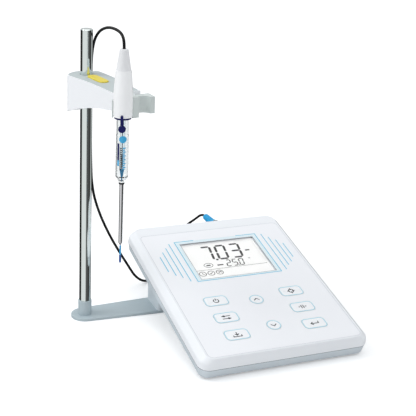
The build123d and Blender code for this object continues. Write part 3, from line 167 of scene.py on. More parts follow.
WHITE = (1, 1, 1, 1)
LOOKS = {
    "case": material("case_white_plastic", srgb(241, 244, 248), 0.38, grain=0.10, spread=0.04,
                     patch=0.01),
    # painted shade: the lower shell and the foot get a blue grey copy of the case's white
    "lower": material("case_lower_shaded_plastic", srgb(212, 221, 227), 0.42, grain=0.12, spread=0.04,
                      patch=0.01),
    "panel": material("panel_film", srgb(244, 246, 250), 0.30, grain=0.04, spread=0.03),
    "key": material("key_film", srgb(246, 248, 251), 0.28, grain=0.04, spread=0.03),
    "print_blue": print_ink("print_blue", srgb(112, 196, 224)),
    "print_pale": print_ink("print_pale_blue", srgb(226, 241, 247)),
    "print_key": print_ink("print_key_blue", srgb(176, 218, 232)),
    "print_rim": print_ink("print_rim_grey", srgb(206, 209, 217)),
    "print_disc": print_ink("print_light_blue", srgb(58, 172, 222)),
    "print_dark": print_ink("print_dark", srgb(34, 38, 44), 0.4),
    "print_grey": print_ink("print_grey", srgb(146, 150, 158), 0.4),
    # painted shade for the groove between the shells
    "seam": print_ink("seam_shadow", srgb(92, 100, 108), 0.6),
    "segment": print_ink("display_segment", srgb(22, 24, 28)),
    # painted light: the display glows white to lift the shade of its recess, and its colour is
    # darkened to make up for the glow
    "lcd": material("display_glass_painted_glow", srgb(188, 189, 188), 0.25, grain=0.02, spread=0.03,
                    Emission_Color=WHITE, Emission_Strength=0.42),
    "window": glass("display_window", WHITE, 1.1),
    "clear": glass("electrode_glass", srgb(250, 253, 254), 1.42),
    "inner": glass("electrode_inner_glass", srgb(244, 250, 252), 1.15),
    "board": material("solder_mask", srgb(28, 96, 60), 0.35, grain=0.1, patch=0.1),
    "chip": material("dark_plastic", srgb(40, 42, 46), 0.45, grain=0.15, spread=0.05),
    "dark_panel": material("rear_panel_plastic", srgb(62, 66, 72), 0.5, grain=0.2, spread=0.05),
    "jack": material("jack_plastic", srgb(34, 36, 40), 0.4, grain=0.1, spread=0.05),
    "dome": steel("stamped_steel", srgb(200, 202, 205)),
    "screw": steel("zinc_steel", srgb(196, 198, 202), 0.35, grain=0.1, spread=0.08),
    "nickel": steel("nickel_plate", srgb(205, 203, 198), 0.22, grain=0.05, spread=0.06),
    "rubber": material("foot_rubber", srgb(44, 45, 48), 0.8, grain=0.3, spread=0.05),
    "plate": material("plate_powder_coat", srgb(181, 195, 201), 0.45, grain=0.35,
                      grain_scale=1400.0, spread=0.04, patch=0.02),
    "chrome": steel("pole_chrome", srgb(222, 230, 228), 0.06, spread=0.02),
    "arm": material("arm_white_plastic", srgb(243, 245, 248), 0.42, grain=0.12, spread=0.04,
                    patch=0.01),
    # painted shade: the arm's top gets a darker grey green than the arm's white
    "cover": material("arm_top_shaded_grey", srgb(190, 200, 201), 0.42, grain=0.14, spread=0.04,
                      patch=0.02),
    "clip": material("clip_grey_plastic", srgb(208, 216, 214), 0.40, grain=0.12, spread=0.04,
                     patch=0.02),
    "nylon": material("nylon", srgb(228, 226, 218), 0.5, grain=0.1),
    "yellow": material("button_yellow", srgb(232, 212, 62), 0.38, grain=0.08, spread=0.04,
                       patch=0.03),
    "jaw": steel("ground_steel", srgb(180, 182, 186)),
    "spring": steel("spring_steel", srgb(170, 172, 176)),
    "cap": material("cap_white", srgb(249, 250, 251), 0.28, grain=0.04, spread=0.03),
    "boot": material("boot_pale_rubber", srgb(232, 233, 235), 0.5, grain=0.12, spread=0.04),
    "navy": material("navy_rubber", srgb(6, 14, 88), 0.45, grain=0.08, spread=0.05,
                     Specular_IOR_Level=0.2),
    "silver": steel("silver_wire", srgb(206, 208, 210)),
    "cone": material("junction_blue", srgb(46, 158, 214), 0.3, grain=0.04, spread=0.04),
    "stem": steel("stem_steel", srgb(214, 215, 218), 0.15, grain=0.02, spread=0.03),
    "tip": material("tip_blue_glass", srgb(40, 92, 170), 0.15, grain=0.02,
                    Transmission_Weight=0.4),
    "lead": material("lead_jacket", srgb(5, 5, 6), 0.5, spread=0.06, Specular_IOR_Level=0.25),
    "tie": material("tie_white", srgb(226, 227, 228), 0.5, grain=0.08),
    "bnc_boot": material("boot_blue_rubber", srgb(36, 170, 224), 0.42, grain=0.10, spread=0.05),
}

NODE_LOOKS = {          # the CAD's own nodes by look
    "case": ["upper_case"],
    "lower": ["lower_case", "support_foot"],
    "panel": ["front_panel"],
    "key": list(KEYS),
    "window": ["display_window"],
    "lcd": ["lcd_module"],
    "cap": ["backlight", "lcd_frame", "electrode_cap"],
    "board": ["main_board"],
    "chip": ["board_parts"],
    "dome": ["key_domes"],
    "dark_panel": ["rear_panel"],
    "nickel": ["bnc_socket", "bnc_plug_body", "bnc_collar"],
    "jack": ["power_jack", "temperature_jack", "reference_jack"],
    "screw": ["case_screws", "stand_screws", "arm_screws"],
    "rubber": ["rubber_feet"],
    "plate": ["base_plate", "pole_collar"],
    "chrome": ["pole"],
    "arm": ["arm_shell"],
    "cover": ["arm_top_cover"],
    "nylon": ["lower_bush", "upper_bush"],
    "yellow": ["release_button"],
    "jaw": ["lock_jaw"],
    "spring": ["jaw_spring", "button_spring"],
    "clip": ["clip_head"],
    "boot": ["electrode_boot"],
    "navy": ["fill_ring", "fill_plug"],
    "clear": ["outer_glass"],
    "inner": ["inner_glass"],
    "silver": ["reference_element"],
    "cone": ["junction_cone", "tip_neck"],
    "stem": ["electrode_stem"],
    "tip": ["sensing_tip"],
    "lead": ["lead_upper", "lead_lower", "lead_tail", "lead_coil"],
    "tie": ["coil_tie"],
    "bnc_boot": ["bnc_boot"],
}
for look, names in NODE_LOOKS.items():
    for name in names:
        mesh = nodes[name].data
        mesh.materials.clear()
        mesh.materials.append(LOOKS[look])


# ---------------------------------------------------------------- mesh helpers
MITRE_LIMIT = 0.3       # least share of a line's width that a sharp corner may ask for
LATHE_SIDES = 56
LATHE_SMOOTH = 35
TUBE_SIDES = 18
TUBE_SMOOTH = 60


def mesh_object(name, verts, faces, look, body, smooth=None):
    """Piece made from vertices in the frame, smooth under an angle in degrees."""
    data = bpy.data.meshes.new(name)
    data.from_pydata([tuple(v) for v in verts], [], faces)
    data.validate()
    data.update()
    piece = bpy.data.objects.new(name, data)
    bpy.context.collection.objects.link(piece)
    data.materials.append(LOOKS[look])
    if smooth is not None:
        data.shade_smooth()
        data.set_sharp_from_angle(angle=math.radians(smooth))
    if body:
        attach(piece, body)
    return piece


class Sheet:
    """Thin printed shapes gathered into one piece on a plane."""

    def __init__(self, origin, x_dir, y_dir, thick):
        self.origin = origin
        self.x_dir = x_dir
        self.y_dir = y_dir
        self.normal = x_dir.cross(y_dir)
        self.thick = thick * MM
        self.verts = []
        self.faces = []

    def at(self, x, y, lift=0.0):
        return self.origin + self.x_dir * (x * MM) + self.y_dir * (y * MM) + self.normal * lift

    def plate(self, points):
        """Flat shape with a closed outline, counter-clockwise."""
        first = len(self.verts)
        count = len(points)
        self.verts += [self.at(x, y) for x, y in points]
        self.verts += [self.at(x, y, self.thick) for x, y in points]
        self.faces.append([first + count + i for i in range(count)])
        self.faces.append([first + i for i in reversed(range(count))])
        for i in range(count):
            j = (i + 1) % count
            self.faces.append([first + i, first + j, first + count + j, first + count + i])

    def line(self, points, width, closed=False):
        """Band of even width along a run of points, mitred at its corners."""
        half = width / 2
        count = len(points)
        sides = []
        for i in range(count):
            here = Vector(points[i])
            before = Vector(points[i - 1]) if closed or i else None
            after = Vector(points[(i + 1) % count]) if closed or i < count - 1 else None
            run_in = (here - before).normalized() if before is not None else None
            run_out = (after - here).normalized() if after is not None else run_in
            if run_in is None:
                run_in = run_out
            mid = (run_in + run_out).normalized()
            side = Vector((-mid.y, mid.x))
            grow = 1 / max(MITRE_LIMIT, side.dot(Vector((-run_in.y, run_in.x))))
            sides.append((here + side * half * grow, here - side * half * grow))
        first = len(self.verts)
        for left, right in sides:
            for point in (left, right):
                self.verts.append(self.at(point.x, point.y))
                self.verts.append(self.at(point.x, point.y, self.thick))
        spans = count if closed else count - 1
        for i in range(spans):
            a = first + 4 * i
            b = first + 4 * ((i + 1) % count)
            self.faces.append([a + 1, a + 3, b + 3, b + 1])
            self.faces.append([a, b, b + 2, a + 2])
            self.faces.append([a, a + 1, b + 1, b])
            self.faces.append([a + 2, b + 2, b + 3, a + 3])
        if not closed:
            a = first
            b = first + 4 * (count - 1)
            self.faces.append([a, a + 2, a + 3, a + 1])
            self.faces.append([b, b + 1, b + 3, b + 2])

    def make(self, name, look, body, slot):
        return mesh_object(name, self.verts, self.faces, look, body)


def arc(x, y, radius, start, end, steps):
    """Points along an arc, in degrees."""
    out = []
    for i in range(steps + 1):
        turn = math.radians(start + (end - start) * i / steps)
        out.append((x + radius * math.cos(turn), y + radius * math.sin(turn)))
    return out


def ring(x, y, radius, steps=40):
    """Points round a whole circle."""
    return arc(x, y, radius, 0, 360 - 360 / steps, steps - 1)


def rounded(x, y, width, height, radius, steps=8):
    """Outline of a rounded rectangle about a centre."""
    out = []
    for sx, sy, start in ((1, 1, 0), (-1, 1, 90), (-1, -1, 180), (1, -1, 270)):
        cx = x + sx * (width / 2 - radius)
        cy = y + sy * (height / 2 - radius)
        out += arc(cx, cy, radius, start, start + 90, steps)
    return out


def section_point(side, other, i, sides):
    """Unit way to point i of a round section."""
    turn = 2 * math.pi * i / sides
    return side * math.cos(turn) + other * math.sin(turn)


def skin(rows, sides):
    """Faces over rows of points round a section, closed at both ends."""
    faces = []
    for row in range(rows - 1):
        for i in range(sides):
            j = (i + 1) % sides
            a = row * sides
            b = a + sides
            faces.append([a + i, a + j, b + j, b + i])
    faces.append(list(reversed(range(sides))))
    faces.append([(rows - 1) * sides + i for i in range(sides)])
    return faces


def lathe(name, base, axis, profile, look, body):
    """Turned piece: profile of (radius, distance) along an axis, closed at both ends."""
    side = axis.orthogonal().normalized()
    other = axis.cross(side)
    verts = []
    for radius, height in profile:
        for i in range(LATHE_SIDES):
            out = section_point(side, other, i, LATHE_SIDES)
            verts.append(base + axis * (height * MM) + out * (radius * MM))
    faces = skin(len(profile), LATHE_SIDES)
    return mesh_object(name, verts, faces, look, body, LATHE_SMOOTH)


SEGMENT_SLANT = 0.12
DIGIT_STEP = 1.62       # from one digit to the next, as a share of its width
POINT_BACK = 0.30       # decimal point before the next digit, in widths
POINT_DROP = 0.4        # and under the digits' feet, in half pens
SEGMENTS = {
    "0": "abcdef", "1": "bc", "2": "abged", "3": "abgcd", "4": "fgbc", "5": "afgcd",
    "6": "afgedc", "7": "abc", "8": "abcdefg", "9": "abcdfg",
}


def seven_segment(sheet, text, x, y, height, width, pen, gap):
    """Numbers of a segment display, each segment a bevelled bar."""
    half = pen / 2
    mid = height / 2

    def bar(x0, y0, x1, y1):
        if x0 == x1:
            shape = [
                (x0, y0 + gap), (x0 + half, y0 + gap + half), (x0 + half, y1 - gap - half),
                (x0, y1 - gap), (x0 - half, y1 - gap - half), (x0 - half, y0 + gap + half),
            ]
        else:
            shape = [
                (x0 + gap, y0), (x0 + gap + half, y0 - half), (x1 - gap - half, y0 - half),
                (x1 - gap, y0), (x1 - gap - half, y0 + half), (x0 + gap + half, y0 + half),
            ]
        sheet.plate([(x + px + SEGMENT_SLANT * py, y + py) for px, py in shape])

    bars = {
        "a": (0, height, width, height), "b": (width, mid, width, height),
        "c": (width, 0, width, mid), "d": (0, 0, width, 0), "e": (0, 0, 0, mid),
        "f": (0, mid, 0, height), "g": (0, mid, width, mid),
    }
    for sign in text:
        if sign == ".":
            dot = x - POINT_BACK * width
            sheet.plate([(dot + px * half, y + (py - POINT_DROP) * half) for px, py in
                         ((-1, -1), (1, -1), (1, 1), (-1, 1))])
            continue
        for letter in SEGMENTS[sign]:
            bar(*bars[letter])
        x += width * DIGIT_STEP


# ---------------------------------------------------------------- print on the front panel
def deck_sheet(drop, thick):
    """Sheet parallel to the deck, drop millimetres under the film's outer face."""
    return Sheet(DECK - DECK_UP * (drop * MM), ACROSS, ALONG, thick)


LINE_W = 1.1            # of the blue lines and of the keys' outlines
FRAME_X = 52.3          # blue frame round the display: half width, front and rear
FRAME_LOW = 133.2
FRAME_HIGH = 213.5
FRAME_GAP = (-28.0, 27.0)           # bare place in the frame's rear line
VIEW_X = 47.0           # display opening: half width, front and rear
VIEW_LOW = 136.0
VIEW_HIGH = 208.2
VIEW_LINE = 0.55
STRIPES = (             # lines on either side of the frame: place, front and rear end
    (60.0, 135.3, 211.3),
    (66.5, 143.5, 203.7),
    (73.0, 149.0, 196.2),
    (79.0, 157.8, 187.4),
)
BLUE_T, PALE_T, VIEW_T, RIM_T, SEAM_T = 0.05, 0.02, 0.06, 0.03, 0.55
RIM_IN = 0.3            # line inside the film's edge
RIM_LINE = 0.5
SEAM_IN = 0.25          # painted shade: a dark line in the groove between the shells
SEAM_LINE = 0.3

blue = deck_sheet(0, BLUE_T)
blue.line(
    [(FRAME_GAP[0], FRAME_HIGH), (-FRAME_X, FRAME_HIGH), (-FRAME_X, FRAME_LOW),
     (FRAME_X, FRAME_LOW), (FRAME_X, FRAME_HIGH), (FRAME_GAP[1], FRAME_HIGH)],
    LINE_W,
)
for side in (-1, 1):
    for x, low, high in STRIPES:
        blue.line([(side * x, low), (side * x, high)], LINE_W)
blue.make("panel_blue_lines", "print_blue", "root", "panel_print")

pale = deck_sheet(0, PALE_T)
for x0, x1, y0, y1 in (
    (-FRAME_X, FRAME_X, FRAME_LOW, VIEW_LOW),
    (-FRAME_X, -VIEW_X, VIEW_LOW, FRAME_HIGH),
    (VIEW_X, FRAME_X, VIEW_LOW, FRAME_HIGH),
    (-VIEW_X, VIEW_X, VIEW_HIGH, FRAME_HIGH),
):
    pale.plate([(x0, y0), (x1, y0), (x1, y1), (x0, y1)])
pale.make("panel_pale_border", "print_pale", "root", "panel_print")

edge = deck_sheet(0, VIEW_T)
edge.line([(-VIEW_X, VIEW_LOW), (VIEW_X, VIEW_LOW), (VIEW_X, VIEW_HIGH), (-VIEW_X, VIEW_HIGH)],
          VIEW_LINE, closed=True)
edge.make("display_dark_border", "print_grey", "root", "panel_print")

rim = deck_sheet(0, RIM_T)
rim.line(rounded(0, (PANEL_LOW + PANEL_HIGH) / 2, PANEL_W - 2 * RIM_IN,
                 PANEL_HIGH - PANEL_LOW - 2 * RIM_IN, PANEL_R), RIM_LINE, closed=True)
rim.make("panel_rim_line", "print_rim", "root", "panel_print")

# painted shade: a dark band that deepens the shade of the groove between the shells
seam = deck_sheet(PART_DROP + SEAM_T, SEAM_T)
seam.line(rounded(0, DECK_LEN / 2, CASE_W - 2 * SEAM_IN, DECK_LEN - 2 * SEAM_IN,
                  CASE_R - SEAM_IN), SEAM_LINE, closed=True)
seam.make("case_seam_painted_shade", "seam", "root", "case_white")

# ---------------------------------------------------------------- display
LCD_T = 0.05
digits = deck_sheet(LCD_DROP, LCD_T)
seven_segment(digits, "7.03", x=-27.0, y=174.5, height=26.5, width=11.3, pen=2.9, gap=0.35)
seven_segment(digits, "25.0", x=-4.6, y=158.7, height=12.2, width=5.0, pen=1.4, gap=0.2)
digits.make("display_numbers", "segment", "root", "lcd_glass")

RULE_X = 44.5           # thin line across the display
RULE_Y = 156.3
RULE_W = 0.5
DEGREE = (27.0, 170.0)
SIGN_R = 4.1            # round signs of the front row: clock, tick, arrow
SIGN_LINE = 0.8
ROW = 149.4
CLOCK, TICK, ARROW = -39.9, -29.4, -18.9
OVAL = (-27.0, 164.6)   # oval sign beside the small numbers
OVAL_SIZE = (5.4, 4.0)  # half width and half height
OVAL_STEPS = 40
MARKS = (               # bars for units: middle, width, height, corner radius
    (*OVAL, 5.2, 2.4, 0.8),
    (-12.6, 163.0, 7.6, 2.2, 0.6),
    (31.5, 186.0, 5.6, 2.4, 0.6),
)

signs = deck_sheet(LCD_DROP, LCD_T)
signs.line([(-RULE_X, RULE_Y), (RULE_X, RULE_Y)], RULE_W)
signs.line(ring(*DEGREE, 1.0, 20), RULE_W, closed=True)
for x in (CLOCK, TICK, ARROW):
    signs.line(ring(x, ROW, SIGN_R), SIGN_LINE, closed=True)
signs.line([(CLOCK, ROW + 2.4), (CLOCK, ROW - 0.3), (CLOCK + 2.0, ROW - 1.4)], 0.7)
signs.line([(TICK - 2.1, ROW), (TICK - 0.7, ROW - 1.4), (TICK + 2.1, ROW + 1.6)], 0.8)
signs.line([(ARROW - 2.0, ROW - 1.6), (ARROW + 2.0, ROW + 1.8)], 0.8)
signs.line([(ARROW - 2.0, ROW + 1.6), (ARROW + 2.0, ROW + 1.6), (ARROW + 2.0, ROW - 1.4)], 0.6)
signs.line([(OVAL[0] + OVAL_SIZE[0] * math.cos(math.tau * i / OVAL_STEPS),
             OVAL[1] + OVAL_SIZE[1] * math.sin(math.tau * i / OVAL_STEPS))
            for i in range(OVAL_STEPS)], 0.7, closed=True)
for mark in MARKS:
    signs.plate(rounded(*mark, 4))
signs.make("display_signs", "segment", "root", "lcd_glass")

# ---------------------------------------------------------------- print on the keys
KEY_LINE_IN = 0.6       # middle of the outline inside the key's edge
KEY_PRINT_T = 0.05
PEN = 1.1
THIN_PEN = 1.0
ICONS = {               # strokes of each key's sign about its middle: points, pen
    "key_power": (
        (arc(0, 0, 3.0, 122, 418, 30), PEN),
        ([(0, 0.6), (0, 4.0)], PEN),
    ),
    "key_up": (([(-3.2, -1.2), (0, 1.8), (3.2, -1.2)], PEN),),
    "key_down": (([(-3.2, 1.2), (0, -1.8), (3.2, 1.2)], PEN),),
    "key_mode": tuple(([(-5.0, y), (5.0, y)], PEN) for y in (2.2, -2.2)),
    "key_memory": (
        ([(-4.6, -1.0), (-4.6, -3.4), (4.6, -3.4), (4.6, -1.0)], PEN),
        ([(0, 3.8), (0, -0.8)], PEN),
        ([(-2.2, 1.0), (0, -1.2), (2.2, 1.0)], PEN),
    ),
    "key_cal": tuple(
        ([(1.4 * x, 1.4 * y), (4.7 * x, 4.7 * y)], THIN_PEN)
        for x, y in ((1, 0), (-1, 0), (0, 1), (0, -1))
    ),
    "key_hold": (
        ([(-4.8, 0), (-2.6, 0)], PEN),
        ([(-1.2, -2.8), (-1.2, 2.8)], THIN_PEN),
        ([(1.2, -2.8), (1.2, 2.8)], THIN_PEN),
        ([(2.6, 0), (4.8, 0)], PEN),
    ),
    "key_enter": (
        ([(4.8, 2.6), (4.8, -0.6), (-4.2, -0.6)], PEN),
        ([(-1.8, 1.8), (-4.4, -0.6), (-1.8, -3.0)], PEN),
    ),
}
ICON_RINGS = {"key_cal": 2.9}
ICON_DOTS = {"key_mode": ((-2.4, 2.2), (2.4, -2.2))}
DOT_R = 1.5

for name, (x, along) in KEYS.items():
    outline = deck_sheet(-KEY_PROUD, KEY_PRINT_T)
    if name in ROUND_KEYS:
        band = ring(x, along, KEY_ROUND / 2 - KEY_LINE_IN, 56)
    else:
        width, length, radius = KEY_SIZE
        band = rounded(x, along, width - 2 * KEY_LINE_IN, length - 2 * KEY_LINE_IN,
                       radius - KEY_LINE_IN)
    outline.line(band, LINE_W, closed=True)
    outline.make(name + "_outline", "print_key", name, "key_print")

    icon = deck_sheet(-KEY_PROUD, KEY_PRINT_T)
    if name in ICON_RINGS:
        icon.line(ring(x, along, ICON_RINGS[name], 32), PEN, closed=True)
    for points, pen in ICONS[name]:
        icon.line([(x + px, along + py) for px, py in points], pen)
    for px, py in ICON_DOTS.get(name, ()):
        icon.plate(ring(x + px, along + py, DOT_R, 20))
    icon.make(name + "_sign", "print_dark", name, "key_print")


# ---------------------------------------------------------------- print on the glass
PRINT_T = 0.06
PATCH_STEPS = 6
# heading of the print's middle line, in degrees
FRONT = math.degrees(math.atan2(CAMERA.y - ELECTRODE.y, CAMERA.x - ELECTRODE.x))


def glass_print(name, look, patches):
    """Patches (left, right, low, high) wrapped on the outer glass about its front."""
    verts = []
    faces = []
    for left, right, low, high in patches:
        first = len(verts)
        start, end = (math.degrees(math.asin(side / GLASS_R)) for side in (left, right))
        for i in range(PATCH_STEPS + 1):
            turn = math.radians(FRONT + start + (end - start) * i / PATCH_STEPS)
            out = Vector((math.cos(turn), math.sin(turn), 0)) * MM
            for radius in (GLASS_R, GLASS_R + PRINT_T):
                for height in (low, high):
                    verts.append(ELECTRODE + out * radius + UP * (height * MM))
        for i in range(PATCH_STEPS):
            a = first + 4 * i
            b = a + 4
            faces += [[a + 2, b + 2, b + 3, a + 3], [a + 1, b + 1, b, a],
                      [a, b, b + 2, a + 2], [a + 3, b + 3, b + 1, a + 1]]
        last = first + 4 * PATCH_STEPS
        faces += [[first + 1, first, first + 2, first + 3],
                  [last, last + 1, last + 3, last + 2]]
    return mesh_object(name, verts, faces, look, "arm")


DISC = (0.5, 237.6, 3.7)            # middle across the glass, foot, radius
DISC_SLICES = 12
DISC_SLICE = 0.6
BAR = (-4.6, -2.9)                  # left and right of the bar beside the scale
BAR_LOW, BAR_MID, BAR_HIGH = 213.5, 219.5, 237.0
SCALE = (-2.3, -1.7, 209.0, 233.0)  # left, right, foot and top of the scale's spine
MARK_LOW = 209.5                    # foot of the scale's lowest mark
MARK_PITCH = 2.0
MARK_COUNT = 12
MARK_T = 0.9
MARK_ENDS = (0.4, -0.2)             # right ends: every third mark, and the others
BLUE_LEFT = 0.6                     # blue marks to the right of the scale
BLUE_ENDS = (2.7, 3.5)              # right ends in turn
BLUE_SPAN = (0.2, 1.5)              # foot and top over the scale mark's foot
CONE_FOOT = 196.5                   # cone inside the glass, and its (radius, height)
CONE = [(0.4, 0), (1.0, 4.0), (2.4, 12.0), (2.4, 12.8)]
SEAL_FOOT = 193.0                   # ring between the glass and the stem
SEAL = [(2.85, 0), (2.95, 0.3), (2.95, 1.5), (2.6, 2.0)]

disc = []
for i in range(DISC_SLICES):
    low = (i - DISC_SLICES / 2) * DISC_SLICE
    half = math.sqrt(DISC[2] ** 2 - (low + DISC_SLICE / 2) ** 2)
    foot = DISC[1] + i * DISC_SLICE
    disc.append((DISC[0] - half, DISC[0] + half, foot, foot + DISC_SLICE))
glass_print("electrode_disc", "print_disc", disc)
glass_print("electrode_bar", "navy", [(*BAR, BAR_MID, BAR_HIGH)])
glass_print("electrode_bar_low", "print_disc", [(*BAR, BAR_LOW, BAR_MID)])
scale_marks = [SCALE]
ticks = []
for i in range(MARK_COUNT):
    low = MARK_LOW + MARK_PITCH * i
    scale_marks.append((SCALE[1], MARK_ENDS[i % 3 > 0], low, low + MARK_T))
    ticks.append((BLUE_LEFT, BLUE_ENDS[i % 2], low + BLUE_SPAN[0], low + BLUE_SPAN[1]))
glass_print("electrode_scale", "print_dark", scale_marks)
glass_print("electrode_ticks", "print_disc", ticks)
cone = lathe("electrode_cone", ELECTRODE + UP * (CONE_FOOT * MM), UP, CONE, "cone", "arm")
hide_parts("junction_cone")
lathe("electrode_seal", ELECTRODE + UP * (SEAL_FOOT * MM), UP, SEAL, "jack", "arm")


# ---------------------------------------------------------------- electrode lead
LEAD_D = 0.003
# routes of the lead's centre line: electrode to the arm's back, down the pole to the coil,
# and from the coil to the plug
UPPER = (
    (-114.814, -42.727, 330.1),
    (-114.814, -42.727, 337.6),
    (-115.2, -36.2, 343.4),
    (-115.3, -20.4, 344.4),
    (-115.0, 1.0, 342.4),
    (-114.4, 23.0, 337.6),
    (-113.7, 46.0, 329.0),
    (-113.1, 64.5, 315.5),
    (-112.3, 75.8, 293.0),
    (-112.3, 75.8, 268.0),
)
LOWER = (
    (-112.3, 75.8, 268.0),
    (-112.3, 75.8, 226.0),
    (-111.6, 76.8, 184.0),
    (-109.0, 80.0, 146.0),
    (-99.0, 87.8, 115.0),
    (-83.0, 97.5, 81.0),
    (-67.0, 106.0, 53.0),
    (-54.0, 112.5, 32.0),
    (-42.0, 117.0, 12.0),
    (-28.0, 121.0, 1.5),
    (-13.0, 129.0, 1.5),
    (-1.0, 144.0, 1.5),
    (6.5, 164.0, 1.5),
    (9.3, 180.0, 1.5),
)
TAIL = (
    (14.0, 202.5, 4.5),
    (19.0, 209.5, 5.0),
    (29.0, 214.0, 8.0),
    (40.0, 212.5, 16.0),
    (49.0, 208.0, 25.5),
    (58.0, 202.5, 37.5),
    (65.8, 193.5, 48.0),
    (69.725, 180.0, 60.208),
    (69.725, 169.05, 60.208),
)
COIL = (28.0, 187.0)
ROUTE_STEPS = 10        # points to a span of a route
COIL_STEP = 30          # degrees between the coil's points
COIL_TURNS = (          # number of the point, radius, height: outer, inner, and top turn
    (0, 18.7, 1.5),
    (10, 18.7, 1.5),
    (13, 15.55, 1.5),
    (14, 15.6, 1.5),
    (20, 15.6, 1.5),
    (24, 17.2, 4.3),
    (36, 17.2, 4.3),
)


def coil_points():
    """Three turns, clockwise, with even steps between the places of COIL_TURNS."""
    out = []
    for (k0, r0, z0), (k1, r1, z1) in zip(COIL_TURNS, COIL_TURNS[1:]):
        for k in range(k0 + (k0 > 0), k1 + 1):
            share = (k - k0) / (k1 - k0)
            radius = r0 + (r1 - r0) * share
            turn = math.radians(180 - COIL_STEP * k)
            out.append((COIL[0] + radius * math.cos(turn), COIL[1] + radius * math.sin(turn),
                        z0 + (z1 - z0) * share))
    return out


def spline_points(name, route):
    """Points of a smooth line along a route."""
    data = bpy.data.curves.new(name, "CURVE")
    data.dimensions = "3D"
    data.resolution_u = ROUTE_STEPS
    spline = data.splines.new("NURBS")
    spline.points.add(len(route) - 1)
    for point, place in zip(spline.points, route):
        point.co = (place[0] * MM, place[1] * MM, place[2] * MM, 1)
    spline.order_u = 3
    spline.use_endpoint_u = True
    carrier = bpy.data.objects.new(name, data)
    bpy.context.collection.objects.link(carrier)
    bpy.context.view_layer.update()
    line = bpy.data.meshes.new_from_object(carrier)
    points = [v.co.copy() for v in line.vertices]
    bpy.data.objects.remove(carrier)
    bpy.data.curves.remove(data)
    bpy.data.meshes.remove(line)
    return points


def lead_tube(name, points):
    """Round lead along points, with its section carried on without twist."""
    last = len(points) - 1
    ways = [(points[min(i + 1, last)] - points[max(i - 1, 0)]).normalized()
            for i in range(last + 1)]
    side = ways[0].orthogonal().normalized()
    verts = []
    for i, point in enumerate(points):
        if i:
            side = ways[i - 1].rotation_difference(ways[i]) @ side
        side = (side - ways[i] * side.dot(ways[i])).normalized()
        other = ways[i].cross(side)
        verts += [point + section_point(side, other, j, TUBE_SIDES) * (LEAD_D / 2)
                  for j in range(TUBE_SIDES)]
    faces = skin(len(points), TUBE_SIDES)
    return mesh_object(name, verts, faces, "lead", None, TUBE_SMOOTH)


upper_line = spline_points("upper_route", UPPER)
lower_line = spline_points("lower_route", LOWER + tuple(coil_points()) + TAIL)
lead_top = lead_tube("electrode_lead_top", upper_line)
lead_long = lead_tube("electrode_lead_long", lower_line)
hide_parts("lead_upper")
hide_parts("lead_lower", "lead_coil", "lead_tail")
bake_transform(lead_top)
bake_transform(lead_long)

# ---------------------------------------------------------------- ribbed boot of the plug
BOOT_START = 22.8       # behind the rear panel
BOOT_LEN = 31.5
BOOT_R = 5.5            # of its plain collar
COLLAR_LEN = 6.5
RIB_R = 5.2             # of the first rib
RIBS_START = 7.0
RIBS = 7
RIBS_END = 1.5          # before the boot's end
RIB_PITCH = (BOOT_LEN - RIBS_START - RIBS_END) / RIBS
RIB_DEPTH = 0.7
BOOT_TAPER = 0.0455     # radius lost in each millimetre along the ribs
boot_profile = [(BOOT_R, 0), (BOOT_R, COLLAR_LEN), (RIB_R, RIBS_START)]
for i in range(RIBS):
    at = RIBS_START + i * RIB_PITCH
    outer = RIB_R - BOOT_TAPER * at
    # the groove's two ends, then the rib's
    boot_profile += [
        (outer - RIB_DEPTH, at + 0.35), (outer - RIB_DEPTH, at + 0.32 * RIB_PITCH),
        (outer, at + 0.48 * RIB_PITCH), (outer, at + 0.85 * RIB_PITCH),
    ]
boot_profile += [(3.9, BOOT_LEN - 1.2), (3.4, BOOT_LEN - 0.3), (2.6, BOOT_LEN), (1.6, BOOT_LEN)]
plug_boot = lathe("plug_boot", BNC + REARWARD * (BOOT_START * MM), REARWARD,
                  boot_profile, "bnc_boot", "root")
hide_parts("bnc_boot")


# ---------------------------------------------------------------- floor and world
def maths(tree, operation, first, second):
    """Math node on numbers or on other nodes' outputs."""
    node = tree.nodes.new("ShaderNodeMath")
    node.operation = operation
    for socket, value in zip(node.inputs, (first, second)):
        if isinstance(value, (int, float)):
            socket.default_value = value
        else:
            tree.links.new(value, socket)
    return node.outputs[0]


def shade(tree, kind, colour, strength=None):
    """Shader or background of one colour, its strength a number or another node's output."""
    node = tree.nodes.new(kind)
    node.inputs["Color"].default_value = colour
    if isinstance(strength, (int, float)):
        node.inputs["Strength"].default_value = strength
    elif strength is not None:
        tree.links.new(strength, node.inputs["Strength"])
    return node.outputs[0]


def mixed(tree, factor, first, second):
    """First where the factor is 0, second where it is 1."""
    node = tree.nodes.new("ShaderNodeMixShader")
    for socket, value in zip(node.inputs, (factor, first, second)):
        tree.links.new(value, socket)
    return node.outputs[0]


FLOOR_HALF = 6.0
FLOOR_DROP = 0.0002     # under the bench plane, so that nothing lies in it
FLOOR_COLOUR = (0.90, 0.905, 0.91, 1)
FLOOR_LIFT = 0.28       # added for the camera under the object
FLOOR_RISE = 0.25       # added to that from FLOOR_NEAR to FLOOR_FAR from the middle
FLOOR_NEAR = 0.45
FLOOR_FAR = 1.8


